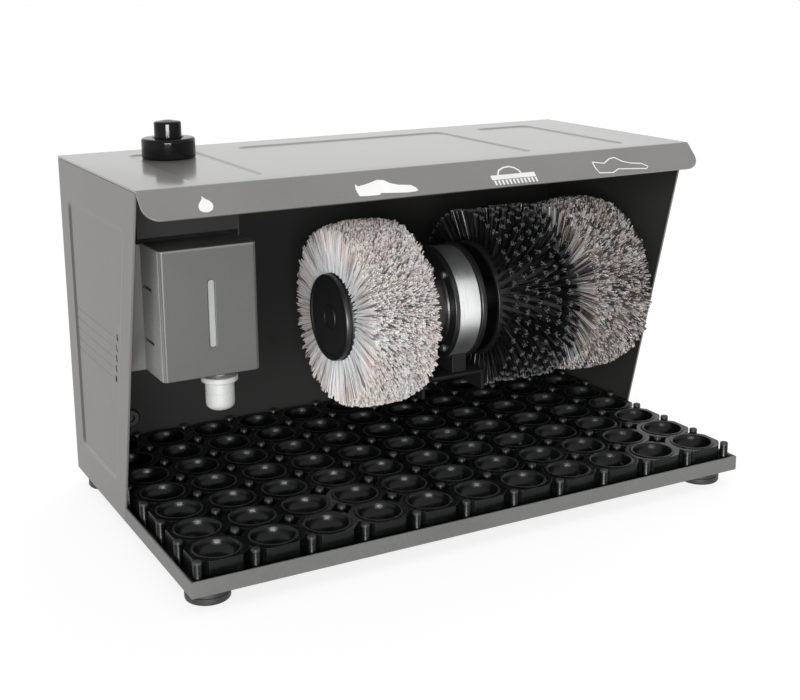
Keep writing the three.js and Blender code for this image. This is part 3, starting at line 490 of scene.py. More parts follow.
def softened(node, name, finish, body, bevel):
    """A piece with the shape of its node, and its edges softened."""
    bm = bmesh.new()
    bm.from_mesh(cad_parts[node].data)
    bmesh.ops.remove_doubles(bm, verts=bm.verts, dist=0.002 * MM)
    bmesh.ops.dissolve_limit(bm, angle_limit=math.radians(1), verts=bm.verts, edges=bm.edges)
    return made(name, bm, finish, body, [node], bevel)


def all_of(bm):
    return bm.verts[:] + bm.edges[:] + bm.faces[:]


def verts_in(geom):
    return [item for item in geom if isinstance(item, bmesh.types.BMVert)]


def open_edges(bm):
    return [edge for edge in bm.edges if edge.is_boundary]


def face_outwards(bm):
    bmesh.ops.recalc_face_normals(bm, faces=bm.faces)


def drawn_out(bm, edges):
    """Extrudes a ring of edges, and returns the new corners, still in place."""
    return verts_in(bmesh.ops.extrude_edge_only(bm, edges=edges)["geom"])


def thickened(bm, faces, shift):
    """Extrudes flat faces by a shift in millimetres."""
    top = bmesh.ops.extrude_face_region(bm, geom=faces)["geom"]
    bmesh.ops.translate(bm, verts=verts_in(top), vec=shift * MM)


def copied(bm, geom, shift):
    """Copies geometry and moves the copy by a shift in millimetres."""
    copy = bmesh.ops.duplicate(bm, geom=geom)["geom"]
    bmesh.ops.translate(bm, verts=verts_in(copy), vec=shift * MM)


def rounded(bm, geom, radius, segments, affect="EDGES"):
    """Rounds edges, or the corners of a flat face, and returns the new corners."""
    return bmesh.ops.bevel(
        bm, geom=geom, offset=radius * MM, offset_type="OFFSET", affect=affect,
        segments=segments, profile=0.5, material=-1)["verts"]


def turned(bm, profile, axis, centre, steps=ROUND_STEPS, closed=False):
    """Turns a profile of [radius, place along the axis] pairs about the axis."""
    out = Y if axis is X else X
    base = centre - axis * centre.dot(axis)
    verts = [bm.verts.new(base + (out * r + axis * a) * MM) for r, a in profile]
    ends = verts[1:] + verts[:1] if closed else verts[1:]
    edges = [bm.edges.new(pair) for pair in zip(verts, ends)]
    bmesh.ops.spin(
        bm, geom=verts + edges, cent=base, axis=axis, dvec=Vector(), angle=FULL_TURN,
        steps=steps, use_merge=True, use_normal_flip=False, use_duplicate=False)
    bmesh.ops.remove_doubles(bm, verts=bm.verts, dist=0.001 * MM)
    face_outwards(bm)


def spun(name, profile, axis, centre, finish, body, replaced=(), bevel=0.0, closed=False,
         steps=ROUND_STEPS):
    """A piece turned from a profile, which is an open line or a closed ring."""
    bm = bmesh.new()
    turned(bm, profile, axis, centre, steps, closed)
    made(name, bm, finish, body, replaced, bevel)


def arc(centre, place, radius, start, end, steps=5):
    """Points of a round between two angles in degrees, as [radius, place] pairs."""
    turns = (math.radians(start + (end - start) * i / steps) for i in range(steps + 1))
    return [(centre + radius * math.cos(t), place + radius * math.sin(t)) for t in turns]


def rectangle(a0, a1, b0, b1):
    return [(a0, b0), (a1, b0), (a1, b1), (a0, b1)]


def patch(bm, corners, radius=0.0, height=0.0, steps=6):
    """A flat face with rounded corners, from corners in millimetres."""
    verts = [bm.verts.new((a * MM, b * MM, height * MM)) for a, b in corners]
    face = bm.faces.new(verts)
    if radius:
        face = rounded(bm, verts, radius, steps, "VERTICES")[0].link_faces[0]
    return face


def disc(bm, a, b, radius, height):
    circle = bmesh.ops.create_circle(bm, cap_ends=True, segments=16, radius=radius * MM)["verts"]
    bmesh.ops.translate(bm, verts=circle, vec=Vector((a, b, height)) * MM)
    return circle[0].link_faces[0]


def fill_between(bm, rim, holes=()):
    """Fills a flat ring of edges around the rings inside it."""
    edges = list(rim) + [edge for hole in holes for edge in hole]
    bmesh.ops.triangle_fill(bm, edges=edges, use_beauty=True, use_dissolve=False)


def sunk(bm, face, slope, depth):
    """Presses a flat face in by a depth, with a sloping wall, and returns the wall's outer edges."""
    walls = bmesh.ops.inset_individual(
        bm, faces=[face], thickness=slope * MM, depth=-depth * MM, use_even_offset=True)["faces"]
    return [edge for wall in walls for edge in wall.edges if edge.is_boundary]


def pressed_sheet(bm, corners, fields):
    """A flat sheet in x and y with its face up and pressed fields. Each field is a dict of its
    corners and its wall's slope and, if it has them, its grooves and vents."""
    rim = patch(bm, corners)
    rim_edges = list(rim.edges)
    bm.faces.remove(rim)
    rings = []
    for field in fields:
        face = patch(bm, field["corners"], PRESS_ROUND)
        rings.append(sunk(bm, face, field["slope"], PRESS_DEPTH))
        if "grooves" in field:
            floor_edges = list(face.edges)
            bm.faces.remove(face)
            inner_rings = []
            for outline in field["grooves"]:
                groove = patch(bm, outline, GROOVE_ROUND, -PRESS_DEPTH, 3)
                inner_rings.append(sunk(bm, groove, GROOVE_SLOPE, GROOVE_DEPTH))
            for a, b, radius in field["vents"]:
                vent = disc(bm, a, b, radius, -PRESS_DEPTH)
                inner_rings.append(list(vent.edges))
                bm.faces.remove(vent)
            fill_between(bm, floor_edges, inner_rings)
    fill_between(bm, rim_edges, rings)
    for face in bm.faces:
        if face.normal.z < 0:
            face.normal_flip()
    bm.normal_update()
    for vert in drawn_out(bm, open_edges(bm)):
        vert.co.z = -SHEET * MM
    fill_between(bm, open_edges(bm))
    face_outwards(bm)


# Housing

def front_edge(z):
    """The place of a side's sloping front edge at a height."""
    share = (z - TRAY_Z) / (PANEL_TOP - TRAY_Z)
    return FRONT_FOOT_Y + (FRONT_TOP_Y - FRONT_FOOT_Y) * share


def side_panel(side, name, node):
    """One side: a pressed field with five louvre lines that each end in a vent hole."""
    border, vent_place, vent_radius, louvre_start, louvre_end = 27, 40, 3.1, 46, REAR_Y - 34
    half_height, lowest, pitch = 1.6, TRAY_Z + 132, 10
    louvres = [lowest + pitch * i for i in range(5)]
    field = {
        "corners": [(front_edge(FIELD_FOOT) + border, FIELD_FOOT), (FIELD_REAR, FIELD_FOOT),
                    (FIELD_REAR, FIELD_HEAD), (front_edge(FIELD_HEAD) + border, FIELD_HEAD)],
        "slope": FIELD_SLOPE,
        "grooves": [rectangle(front_edge(z) + louvre_start, louvre_end, z - half_height,
                              z + half_height) for z in louvres],
        "vents": [(front_edge(z) + vent_place, z, vent_radius) for z in louvres],
    }
    rim = [(FRONT_FOOT_Y, TRAY_Z), (REAR_Y, TRAY_Z), (REAR_Y, PANEL_TOP), (FRONT_TOP_Y, PANEL_TOP)]
    bm = bmesh.new()
    pressed_sheet(bm, rim, [field])
    # The sheet's x, y and height become the machine's y, z and x.
    turn = Matrix(((0, 0, side, side * SIDE_X * MM), (1, 0, 0, 0), (0, 1, 0, 0), (0, 0, 0, 1)))
    bmesh.ops.transform(bm, matrix=turn, verts=bm.verts)
    face_outwards(bm)
    made(name, bm, SIDE_PAINT, "housing", [node], 0.35, 2, PRESSED_FOLD)


def top_cover():
    """The top with its three pressed fields, cut flat and folded down along the front lip."""
    in_bend = BEND_RADIUS * math.tan(LIP_LEAN / 2)
    start = TOP_FRONT_Y + in_bend
    fold = BEND_RADIUS * LIP_LEAN
    tip = start - fold - (LIP_LENGTH - in_bend)
    tip_round, cuts = 15, 6
    front, rear, inset, narrow, gap = TOP_FRONT_Y + 24, REAR_Y - 35, 55, 67, 42
    outer = SIDE_X - inset
    wide = outer - narrow - gap
    bounds = [(-outer, -outer + narrow), (-wide, wide), (outer - narrow, outer)]
    fields = [{"corners": rectangle(a, b, front, rear), "slope": PRESS_SLOPE} for a, b in bounds]
    bm = bmesh.new()
    pressed_sheet(bm, rectangle(-SIDE_X, SIDE_X, tip, REAR_Y), fields)
    lip_corners = [edge for edge in bm.edges
                   if all(abs(v.co.y - tip * MM) < 0.01 * MM for v in edge.verts)
                   and edge.calc_length() < SHEET * 1.2 * MM]
    rounded(bm, lip_corners, tip_round, 8)
    for i in range(cuts + 1):
        place = Vector((0, (start - fold * i / cuts) * MM, 0))
        bmesh.ops.bisect_plane(bm, geom=all_of(bm), plane_co=place, plane_no=Y, dist=0.001 * MM)
    for vert in bm.verts:
        past = start - vert.co.y / MM
        height = vert.co.z / MM
        if past > 0:
            turn = min(past / BEND_RADIUS, LIP_LEAN)
            rest = max(0.0, past - fold)
            reach = BEND_RADIUS + height
            vert.co.y = (start - reach * math.sin(turn) - rest * math.cos(turn)) * MM
            vert.co.z = (-BEND_RADIUS + reach * math.cos(turn) - rest * math.sin(turn)) * MM
        vert.co.z += ROOF_Z * MM
    face_outwards(bm)
    made("top_sheet", bm, TOP_PAINT, "housing", ["top_cover"], 0.35, 2, PRESSED_FOLD)


side_panel(-1, "left_side", "side_panel_left")
side_panel(1, "right_side", "side_panel_right")
top_cover()


# Signs on the lip, as outlines of places across it and shares down it

PRINT_LIFT, PRINT_THICKNESS, OUTLINE_WIDTH, HANDLE_WIDTH = 0.02, 0.10, 1.1, 1.6
SOLID_SHOE = [
    (-91, .43), (-89, .51), (-82, .47), (-75, .41), (-69, .35), (-63, .38), (-58, .5), (-51, .58),
    (-39, .63), (-35, .73), (-34, .83), (-37, .86), (-45, .87), (-57, .84), (-70, .8), (-72, .86),
    (-83, .86), (-91, .84), (-92, .7), (-92, .57),
]
LINE_SHOE = [
    (158, .43), (170, .52), (179, .36), (185, .34), (192, .51), (200, .6), (212, .65), (218, .78),
    (215, .86), (205, .83), (183, .77), (175, .89), (160, .85), (158, .65), (158, .43),
]
DROP = [
    (-228, .34), (-226.5, .43), (-223, .51), (-221.3, .6), (-221, .7), (-223, .82), (-227, .87),
    (-230.5, .86), (-233.2, .8), (-233.6, .70), (-233, .62), (-231, .53), (-228.6, .44),
]
HANDLE = [(51, .58), (54, .42), (60, .33), (66, .31), (71, .36), (75, .48), (76, .58)]


def lip_point(x, share, proud):
    """A place on the lip: across the machine, down the lip as a share of it, and off its face."""
    along = share * LIP_LENGTH * SLANT
    off = proud * SLANT
    return Vector((x, TOP_FRONT_Y - along - off, ROOF_Z - along + off)) * MM


def print_shape(bm, outline):
    """A flat printed shape on the lip."""
    verts = [bm.verts.new(lip_point(x, v, PRINT_LIFT)) for x, v in outline]
    face = bm.faces.new(verts)
    thickened(bm, [face], Vector((0, -1, 1)).normalized() * PRINT_THICKNESS)


def ribbon(bm, line, width):
    """A printed line of even width, as one closed outline."""
    sides = ([], [])
    last = len(line) - 1
    for i, (x, v) in enumerate(line):
        before, after = line[max(i - 1, 0)], line[min(i + 1, last)]
        dx, dv = after[0] - before[0], (after[1] - before[1]) * LIP_LENGTH
        size = math.hypot(dx, dv) or 1
        nx, nv = -dv / size * width / 2, dx / size * width / 2 / LIP_LENGTH
        sides[0].append((x + nx, v + nv))
        sides[1].append((x - nx, v - nv))
    print_shape(bm, sides[0] + sides[1][::-1])


def pictograms():
    """The signs: cream, polishing brush, cleaning brush and the other polishing brush."""
    bm = bmesh.new()
    print_shape(bm, SOLID_SHOE)
    print_shape(bm, DROP)
    ribbon(bm, LINE_SHOE, OUTLINE_WIDTH)
    print_shape(bm, rectangle(43, 90, .58, .74))
    ribbon(bm, HANDLE, HANDLE_WIDTH)
    first_tuft, tuft_pitch = 44.4, 3.95
    for i in range(12):
        x = first_tuft + i * tuft_pitch
        print_shape(bm, [(x, .76), (x + 2.2, .76), (x + 2.0, .93), (x + 0.3, .93)])
    bmesh.ops.triangulate(bm, faces=[face for face in bm.faces if len(face.verts) > 4])
    face_outwards(bm)
    made("lip_print", bm, PRINT_WHITE, "housing")


pictograms()
softened("back_panel", "rear_sheet", REAR_PAINT, "housing", 0.3)
softened("base_tray", "tray_sheet", SHADED_TRAY_PAINT, "housing", 0.6)

FOOT_PROFILE = [
    (0, 0), (13, 0), (13.6, 0.9), *arc(17, 2, 2, -90, 0), (19, 6), (18.4, 6.4), (18.4, 7.4),
    (19, 7.8), *arc(18.2, 12.9, 0.8, 0, 90), (5, 13.7), (5, 15.8), (0, 15.8),
]
for corner in ("front_left", "front_right", "rear_left", "rear_right"):
    node = "foot_" + corner
    spun("rubber_foot_" + corner, FOOT_PROFILE, Z, centre_of(node), FOOT_RUBBER, "housing",
         [node])


# Floor mat

MAT_LOW, MAT_HIGH = box_of("floor_mat")
COLUMNS, ROWS, PIN, PIN_ROUND, POCKET, FLOOR_GAP = 11, 7, 3.8, 0.9, 11.0, 0.3
GRID_X, GRID_Y = MAT_LOW.x + PIN, MAT_LOW.y + PIN
PITCH = Vector(((MAT_HIGH.x - GRID_X) / COLUMNS, (MAT_HIGH.y - GRID_Y) / ROWS, 0))
MAT_FLOOR, WEB_TOP = MAT_LOW.z + 3, MAT_HIGH.z - 3
# The inside of a cup, as [radius, height above the ground] pairs
BOWL = [
    (0, 26.3), (5, 26.5), (10, 27.3), (14, 29.0), (16.4, 31.6), (17.6, 35), (18.1, 37.4),
    (18.8, 38.7), (20.0, CUP_RIM), (21.0, 38.8), (21.6, 38.1),
]


def mat_cups():
    """Round cups in a web, which leaves an open pocket at each square's corners."""
    bm = bmesh.new()
    turned(bm, BOWL, Z, Vector(), 32)
    half_x, half_y = PITCH.x / 2, PITCH.y / 2
    for vert in drawn_out(bm, open_edges(bm)):
        turn = math.atan2(vert.co.y, vert.co.x)
        ux, uy = abs(math.cos(turn)), abs(math.sin(turn))
        slant = (half_x + half_y - POCKET) / (ux + uy)
        size = min(half_x / max(ux, 1e-6), half_y / max(uy, 1e-6), slant)
        vert.co = Vector((math.cos(turn) * size, math.sin(turn) * size, WEB_TOP)) * MM
    cell = all_of(bm)
    bmesh.ops.translate(bm, verts=bm.verts, vec=Vector((GRID_X + half_x, GRID_Y + half_y, 0)) * MM)
    for column in range(1, COLUMNS):
        copied(bm, cell, Vector((PITCH.x * column, 0, 0)))
    row_of_cells = all_of(bm)
    for row in range(1, ROWS):
        copied(bm, row_of_cells, Vector((0, PITCH.y * row, 0)))
    bmesh.ops.remove_doubles(bm, verts=bm.verts, dist=0.05 * MM)
    for vert in drawn_out(bm, open_edges(bm)):
        vert.co.z = (MAT_FLOOR - FLOOR_GAP) * MM
    face_outwards(bm)
    made("mat_cups", bm, MAT_RUBBER, "housing", ["floor_mat"], 0.5, 2)


def mat_base():
    low, high = MAT_LOW, Vector((MAT_HIGH.x, MAT_HIGH.y, MAT_FLOOR))
    bm = bmesh.new()
    bmesh.ops.create_cube(bm, size=1)
    bmesh.ops.scale(bm, verts=bm.verts, vec=(high - low) * MM)
    bmesh.ops.translate(bm, verts=bm.verts, vec=(low + high) / 2 * MM)
    rounded(bm, bm.edges[:], 0.6, 2)
    made("mat_base", bm, MAT_RUBBER, "housing", ["floor_mat"])


def mat_pins():
    """A pin at each corner of the squares, those of the last row and column on the border."""
    bm = bmesh.new()
    round_foot = MAT_HIGH.z - PIN_ROUND
    profile = [(PIN + 0.5, MAT_FLOOR - FLOOR_GAP), (PIN, MAT_FLOOR + 1), (PIN, round_foot),
               *arc(PIN - PIN_ROUND, round_foot, PIN_ROUND, 0, 90, 3), (0, MAT_HIGH.z)]
    turned(bm, profile, Z, Vector(), 16)
    bmesh.ops.translate(bm, verts=bm.verts, vec=Vector((GRID_X, GRID_Y, 0)) * MM)
    pin = all_of(bm)
    last = MAT_HIGH - MAT_LOW - Vector((2 * PIN, 2 * PIN, 0))
    for index in range(1, (COLUMNS + 1) * (ROWS + 1)):
        row, column = divmod(index, COLUMNS + 1)
        copied(bm, pin, Vector((min(PITCH.x * column, last.x), min(PITCH.y * row, last.y), 0)))
    made("mat_pins", bm, MAT_RUBBER, "housing", ["floor_mat"])


mat_cups()
mat_base()
mat_pins()


# Brushes

AXIS = centre_of("motor_shaft")
OVERHANG = 2
POLISHING = SimpleNamespace(
    core=42.5, radius=91, root=0.30, tip=0.62, wedges=36, rows=26, columns=5, members=5,
    spread=0.7, root_span=0.97, tip_span=1.0, shoulder=6, ragged=0.10, lean=0.9, lock_lean=1.7)
CLEANING = SimpleNamespace(
    core=57.5, radius=90, root=0.34, tip=0.46, wedges=48, rows=7, columns=1, members=14,
    spread=1.7, root_span=1.0, tip_span=1.17, shoulder=0, ragged=0.06, lean=0.9, lock_lean=0.9)


def set_wedge(bm, kind, x0, x1):
    """One wedge of straight filaments, set in locks. Each corner keeps its filament's number and
    the angle that the filament stands at."""
    number = bm.verts.layers.float.new("number")
    angle_of = bm.verts.layers.float.new("angle")
    length = kind.radius - kind.core
    for i in range(kind.rows * kind.columns * kind.members):
        lock, member = divmod(i, kind.members)
        row, column = divmod(lock, kind.columns)
        if kind.columns == 1:
            shift_x, shift_turn = 0.0, 0.5 * (row % 2) - 0.25
        elif member == 0:
            shift_x, shift_turn = RNG.random(2) - 0.5
        out = kind.spread * math.sqrt((member + 0.5) / kind.members)
        turn = member * GOLDEN_TURN
        x = x0 + (x1 - x0) * (row + 0.5 + shift_x) / kind.rows + out * math.cos(turn)
        column_turn = FULL_TURN / kind.wedges * (column + 0.5 + shift_turn) / kind.columns
        angle = column_turn + out * math.sin(turn) / kind.core
        new = bmesh.ops.create_cone(
            bm, cap_ends=True, cap_tris=False, segments=3, radius1=kind.root * MM,
            radius2=kind.tip * MM, depth=length * MM)["verts"]
        place = (Matrix.Rotation(angle, 4, "X")
                 @ Matrix.Translation(Vector((x, 0, kind.core + length / 2)) * MM)
                 @ Matrix.Rotation(RNG.random() * FULL_TURN, 4, "Z"))
        bmesh.ops.transform(bm, matrix=place, verts=new)
        for vert in new:
            vert[number] = i
            vert[angle_of] = angle


def read_out(data, key, size):
    values = np.empty(size)
    data.foreach_get(key, values)
    return values


def comb(mesh, kind, x0, x1):
    """Gives each filament its own length, lean and tint, and moves them all to the shaft."""
    middle, half, length = (x0 + x1) / 2, (x1 - x0) / 2, kind.radius - kind.core
    count = len(mesh.vertices)
    numbers, angles = (read_out(mesh.attributes[key].data, "value", count)
                       for key in ("number", "angle"))
    co = read_out(mesh.vertices, "co", count * 3).reshape(-1, 3) / MM
    height = np.hypot(co[:, 1], co[:, 2])
    around = np.arctan2(-co[:, 1], co[:, 2])
    strands = kind.rows * kind.columns * kind.members
    step = FULL_TURN / kind.wedges
    wedge = np.rint(((around - angles) % FULL_TURN) / step).astype(int) % kind.wedges
    strand = wedge * strands + np.rint(numbers).astype(int)
    lock = strand // kind.members
    along = np.clip((height - kind.core) / length, 0, 1)

    # A draw is picked by the filament's number, or by its lock's, which its neighbours share.
    rng = np.random.default_rng(7)
    total = kind.wedges * strands
    short = rng.random(total)[strand] ** 2 * kind.ragged
    short += rng.random(total)[lock] ** 3 * kind.ragged
    lean_x, lean_turn = (
        rng.normal(0, kind.lean, total)[strand] + rng.normal(0, kind.lock_lean, total)[lock]
        for _ in range(2))
    tint = (rng.random(total)[lock] + rng.random(total)[strand] * 0.4) % 1

    outward = (co[:, 0] - middle) / half
    share = along ** 1.3
    new_height = kind.core + along * (length * (1 - short) - kind.shoulder * abs(outward) ** 3)
    span = kind.root_span + (kind.tip_span - kind.root_span) * share
    x = middle + half * outward * span + lean_x * share
    turn = around + lean_turn * share / kind.radius
    co[:, 0] = np.clip(x, x0 - OVERHANG, x1 + OVERHANG)
    co[:, 1] = -np.sin(turn) * new_height + AXIS.y / MM
    co[:, 2] = np.cos(turn) * new_height + AXIS.z / MM
    mesh.vertices.foreach_set("co", (co * MM).ravel())
    for label, values in (("tint", tint), ("along", along)):
        layer = mesh.attributes.new(label, "FLOAT", "POINT")
        layer.data.foreach_set("value", values.astype(np.float32))
    for label in ("number", "angle"):
        mesh.attributes.remove(mesh.attributes[label])


def brush(name, node, finish, kind, span):
    """A brush's filaments: one wedge, copied round the shaft and then combed."""
    bm = bmesh.new()
    set_wedge(bm, kind, *span)
    copies = kind.wedges - 1
    bmesh.ops.spin(
        bm, geom=all_of(bm), cent=Vector(), axis=X, dvec=Vector(),
        angle=FULL_TURN / kind.wedges * copies, steps=copies, use_duplicate=True,
        use_merge=False, use_normal_flip=False)
    mesh = mesh_of(name, bm)
    comb(mesh, kind, *span)
    mesh.materials.append(finish)
    mesh.update()
    piece = linked(name, mesh)
    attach(piece, "brush_rotor")
    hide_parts(node)


brush("light_brush", "bristles_left", LIGHT_BRISTLE, POLISHING, LEFT_HUB)
brush("mixed_brush", "bristles_right", MIXED_BRISTLE, POLISHING, RIGHT_HUB)
brush("black_brush", "bristles_black", BLACK_BRISTLE, CLEANING, DRUM)


# Hubs, drum and shaft

BORE, HUB, HUB_FACE, NUT_WELL, WELL_DEPTH, HUB_CHAMFER, CAP_GAP = 7.3, 42.4, 41, 10.6, 14, 1.5, 0.3
SHAFT, SPACER, BOSS, DRUM_INSIDE, DRUM_OUTSIDE, HALF_WEB = 7, 11, 16, 54, 58, 6
CAP_STEPS = [
    (0, 0), (41.5, 0), (42, 0.5), (42, 4.2), (41.2, 5.6), (39.6, 6.0), (37.4, 5.9), (36.2, 4.6),
    (24, 3.6), (13, 3.4), (12, 4.6), (10.5, 4.8), (9.6, 3.8), (0, 3.6),
]

for side, (inner, outer) in (("left", LEFT_HUB[::-1]), ("right", RIGHT_HUB)):
    outward = math.copysign(1, outer - inner)
    chamfer, well = outward * HUB_CHAMFER, outer - outward * WELL_DEPTH
    spun(f"{side}_hub",
         [(BORE, inner), (HUB_FACE, inner), (HUB, inner + chamfer), (HUB, outer - chamfer),
          (HUB_FACE, outer), (NUT_WELL, outer), (NUT_WELL, well), (BORE, well)],
         X, AXIS, BLACK_PLASTIC, "brush_rotor", ["brush_hub_" + side], 0.4, True)
    face = outer + outward * CAP_GAP
    spun(f"{side}_hub_cover", [(radius, face + outward * depth) for radius, depth in CAP_STEPS],
         X, AXIS, BLACK_PLASTIC, "brush_rotor", ["hub_cap_" + side], 0.25)
    softened("hub_nut_" + side, f"{side}_shaft_nut", ZINC_X, "brush_rotor", 0.4)

start, end = DRUM
web_start, web_end = (start + end) / 2 - HALF_WEB, (start + end) / 2 + HALF_WEB
spun("brush_drum",
     [(BORE, start), (BOSS, start), (BOSS, web_start), (DRUM_INSIDE, web_start),
      (DRUM_INSIDE, start), (DRUM_OUTSIDE, start), (DRUM_OUTSIDE, end), (DRUM_INSIDE, end),
      (DRUM_INSIDE, web_end), (BOSS, web_end), (BOSS, end), (BORE, end)],
     X, AXIS, BLACK_PLASTIC, "brush_rotor", ["cleaning_drum"], 0.5, True)

start, end = ends_of("motor_shaft")
spun("drive_shaft",
     [(0, start), (SHAFT - 1, start), (SHAFT, start + 1), (SHAFT, end - 1), (SHAFT - 1, end),
      (0, end)],
     X, AXIS, ZINC_X, "brush_rotor", ["motor_shaft"])
for place in ("left", "middle", "right"):
    node = "spacer_" + place
    spun(f"{place}_spacer", rectangle(BORE, SPACER, *ends_of(node)), X, AXIS, ZINC_X,
         "brush_rotor", [node], 0.4, True)


# Motor

BAND, BAND_INSIDE, BAND_ROUND = 56, 43.3, 0.8
start, end = ends_of("stator_core")
spun("stator_band",
     [(BAND_INSIDE, start), (BAND - BAND_ROUND, start), (BAND, start + BAND_ROUND),
      (BAND, end - BAND_ROUND), (BAND - BAND_ROUND, end), (BAND_INSIDE, end)],
     X, AXIS, SILVER_BAND, "housing", ["stator_core"], closed=True, steps=96)


def end_shield(node, name, inward):
    """A flanged cup with a seat for the bearing in its floor, by depths from its open face."""
    low, high = ends_of(node)
    face = high if inward > 0 else low
    length, wall, cup, opening, seat, seat_wall = high - low, 3, 46.5, 13, 16.3, 20.3
    corner = min(9.0, length * 0.45)
    floor = length - wall
    seat_end = length - (12.3 if length > 16 else 3.1)
    steps = [
        (opening, length), *arc(cup - corner, length - corner, corner, 90, 0, 6), (cup, 7.6),
        (47.6, 6.0), (57, 5.7), (58, 4.9), (58, 0.8), (57.3, 0), (44, 0), (44, floor),
        (seat_wall, floor), (seat_wall, seat_end), (seat, seat_end), (seat, floor),
        (opening, floor),
    ]
    spun(name, [(radius, face - inward * depth) for radius, depth in steps], X, AXIS,
         BLACK_ENAMEL, "housing", [node], 0.3, True, 80)


def four_bolts(node, name, profile, axis, finish):
    for i in range(1, 5):
        bolt = f"{node}_{i}"
        spun(f"{name}_{i}", profile, axis, centre_of(bolt), finish, "housing", [bolt],
             steps=24)


end_shield("end_shield_left", "left_shield", 1)
end_shield("end_shield_right", "right_shield", -1)

start, end = ends_of("tie_bolt_1")
four_bolts("tie_bolt", "motor_tie_bolt",
           [(0, start), (2.6, start), (3.5, start + 1), (3.5, start + 3), (2, start + 3),
            (2, end - 0.5), (1.5, end), (0, end)], X, SHADED_ZINC)
start, end = (corner.y for corner in box_of("bracket_bolt_1"))
four_bolts("bracket_bolt", "rear_bolt",
           [(0, start), (1.8, start), (2.3, start + 0.5), (2.3, end - 2.4), (4.5, end - 2.4),
            (4.3, end - 1.4), (3.4, end - 0.4), (1.9, end), (1.8, end - 1.4), (0, end - 1.4)],
           Y, ZINC_Y)
softened("motor_foot", "motor_saddle", SHELF_PAINT, "housing", 0.8)
softened("motor_bracket", "motor_shelf", SHELF_PAINT, "housing", 0.7)


# Control box and start button

softened("control_box", "switch_housing", BOX_PAINT, "housing", 0.45)

BUTTON = centre_of("button_collar")
RING, RING_HEIGHT, RING_ROUND, WELL, WELL_FLOOR, THREAD, STEM = 25, 18.5, 2.4, 13.4, 13.5, 11, 4.6
low, high = box_of("button_collar")
foot, top = high.z - RING_HEIGHT, high.z
spun("button_ring",
     [(STEM, low.z), (THREAD, low.z), (THREAD, foot), (24.2, foot), (RING, foot + 0.8),
      (RING, top - 3.4), *arc(RING - RING_ROUND, top - RING_ROUND, RING_ROUND, 0, 90),
      (15.2, top), (WELL, top - 1.2), (WELL, top - WELL_FLOOR), (STEM, top - WELL_FLOOR)],
     Z, BUTTON, GLOSS_PLASTIC, "housing", ["button_collar"], closed=True)
low, high = box_of("button_cap")
foot, head = low.z, high.z
spun("start_cap",
     [(0, foot), (3.6, foot), (4, foot + 0.4), (4, top - 5), (12.2, top - 5), (12.7, top - 4.5),
      (12.7, head - 3.6), *arc(10.6, head - 3.4, 2.1, 0, 75), (8, head - 1.1), (4, head - 0.3),
      (0, head)],
     Z, BUTTON, GLOSS_PLASTIC, "start_button", ["button_cap"])
softened("button_locknut", "ring_locknut", ZINC_Z, "housing", 0.5)


# Cream dispenser

softened("dispenser_cover", "cream_cover", COVER_PAINT, "front_cover", 0.9)
softened("dispenser_bracket", "cream_bracket", BRACKET_PAINT, "housing", 0.5)
softened("cream_tank", "tank_body", WHITE_PLASTIC, "housing", 0.5)
softened("tank_lid", "tank_cap", BLACK_PLASTIC, "cream_lid", 0.5)

NOZZLE, NOZZLE_ROUND, FLANGE, STEM_LENGTH = 13, 6, 16.5, 18
low, high = box_of("valve_nozzle")
tip, stem = low.z, high.z
flange = stem - STEM_LENGTH
spun("cream_nozzle",
     [(3, tip + 1), (3.6, tip),
      *arc(NOZZLE - NOZZLE_ROUND, tip + NOZZLE_ROUND, NOZZLE_ROUND, -90, 0),
      (NOZZLE, tip + 15), (12.6, tip + 15.4), (12.6, tip + 16.2), (NOZZLE, tip + 16.6),
      (NOZZLE, flange - 5.6), (13.6, flange - 5), (15.9, flange - 5), (FLANGE, flange - 4.4),
      (FLANGE, flange - 0.6), (15.9, flange), (5.5, flange), (5.5, stem), (3, stem)],
     Z, centre_of("valve_nozzle"), WHITE_PLASTIC, "cream_valve",
     ["valve_nozzle"], closed=True)


def level_strip():
    """The pale strip behind the level slot in the cover's front."""
    low, high = box_of("dispenser_cover")
    half_width, thickness, behind_face = 3.6, 0.8, 1.3
    middle, foot, head = low.x + 46, low.z + 25, low.z + 87
    bm = bmesh.new()
    patch(bm, rectangle(middle - half_width, middle + half_width, foot, head), 3.2)
    thickened(bm, bm.faces[:], Z * thickness)
    upright = Matrix(((1, 0, 0, 0), (0, 0, 1, (low.y + behind_face) * MM), (0, 1, 0, 0),
                      (0, 0, 0, 1)))
    bmesh.ops.transform(bm, matrix=upright, verts=bm.verts)
    face_outwards(bm)
    made("level_strip", bm, STRIP_PLASTIC, "front_cover")


level_strip()

# The grommet grips the back panel, and a thin membrane closes its hole.
rear = box_of("cord_inlet")[1].y
spun("cord_grommet",
     [(0, rear - 3.4), (3.6, rear - 3.4), (4, rear - 3), (4, rear), (10.8, rear),
      *arc(11, rear - 1, 1, 90, 0)[1:], (12, rear - 2.7), (8, rear - 2.7), (8, rear - 5.3),
      (10, rear - 5.3), (8, rear - 8), (4, rear - 8), (4, rear - 4.8), (3.6, rear - 4.4),
      (0, rear - 4.4)],
     Y, centre_of("cord_inlet"), FOOT_RUBBER, "housing", ["cord_inlet"])


# Springs

def pressed_spring(node, name):
    """A spring with the shape of its node, on a mesh of its own."""
    spring = softened(node, name, ZINC_Z, "housing", 0)
    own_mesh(spring)


pressed_spring("button_spring", "cap_spring")
pressed_spring("valve_spring", "nozzle_spring")


# Pieces shown as they are in the frame

for node, finish in {
    "stator_winding": WIRE, "rotor_core": ZINC_X, "bearing_left": ZINC_X, "bearing_right": ZINC_X,
    "switch_block": BLACK_PLASTIC, "timer_module": BLACK_PLASTIC, "run_capacitor": ZINC_Y,
}.items():
    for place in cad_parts[node].material_slots:
        place.material = finish


# Floor, light and camera

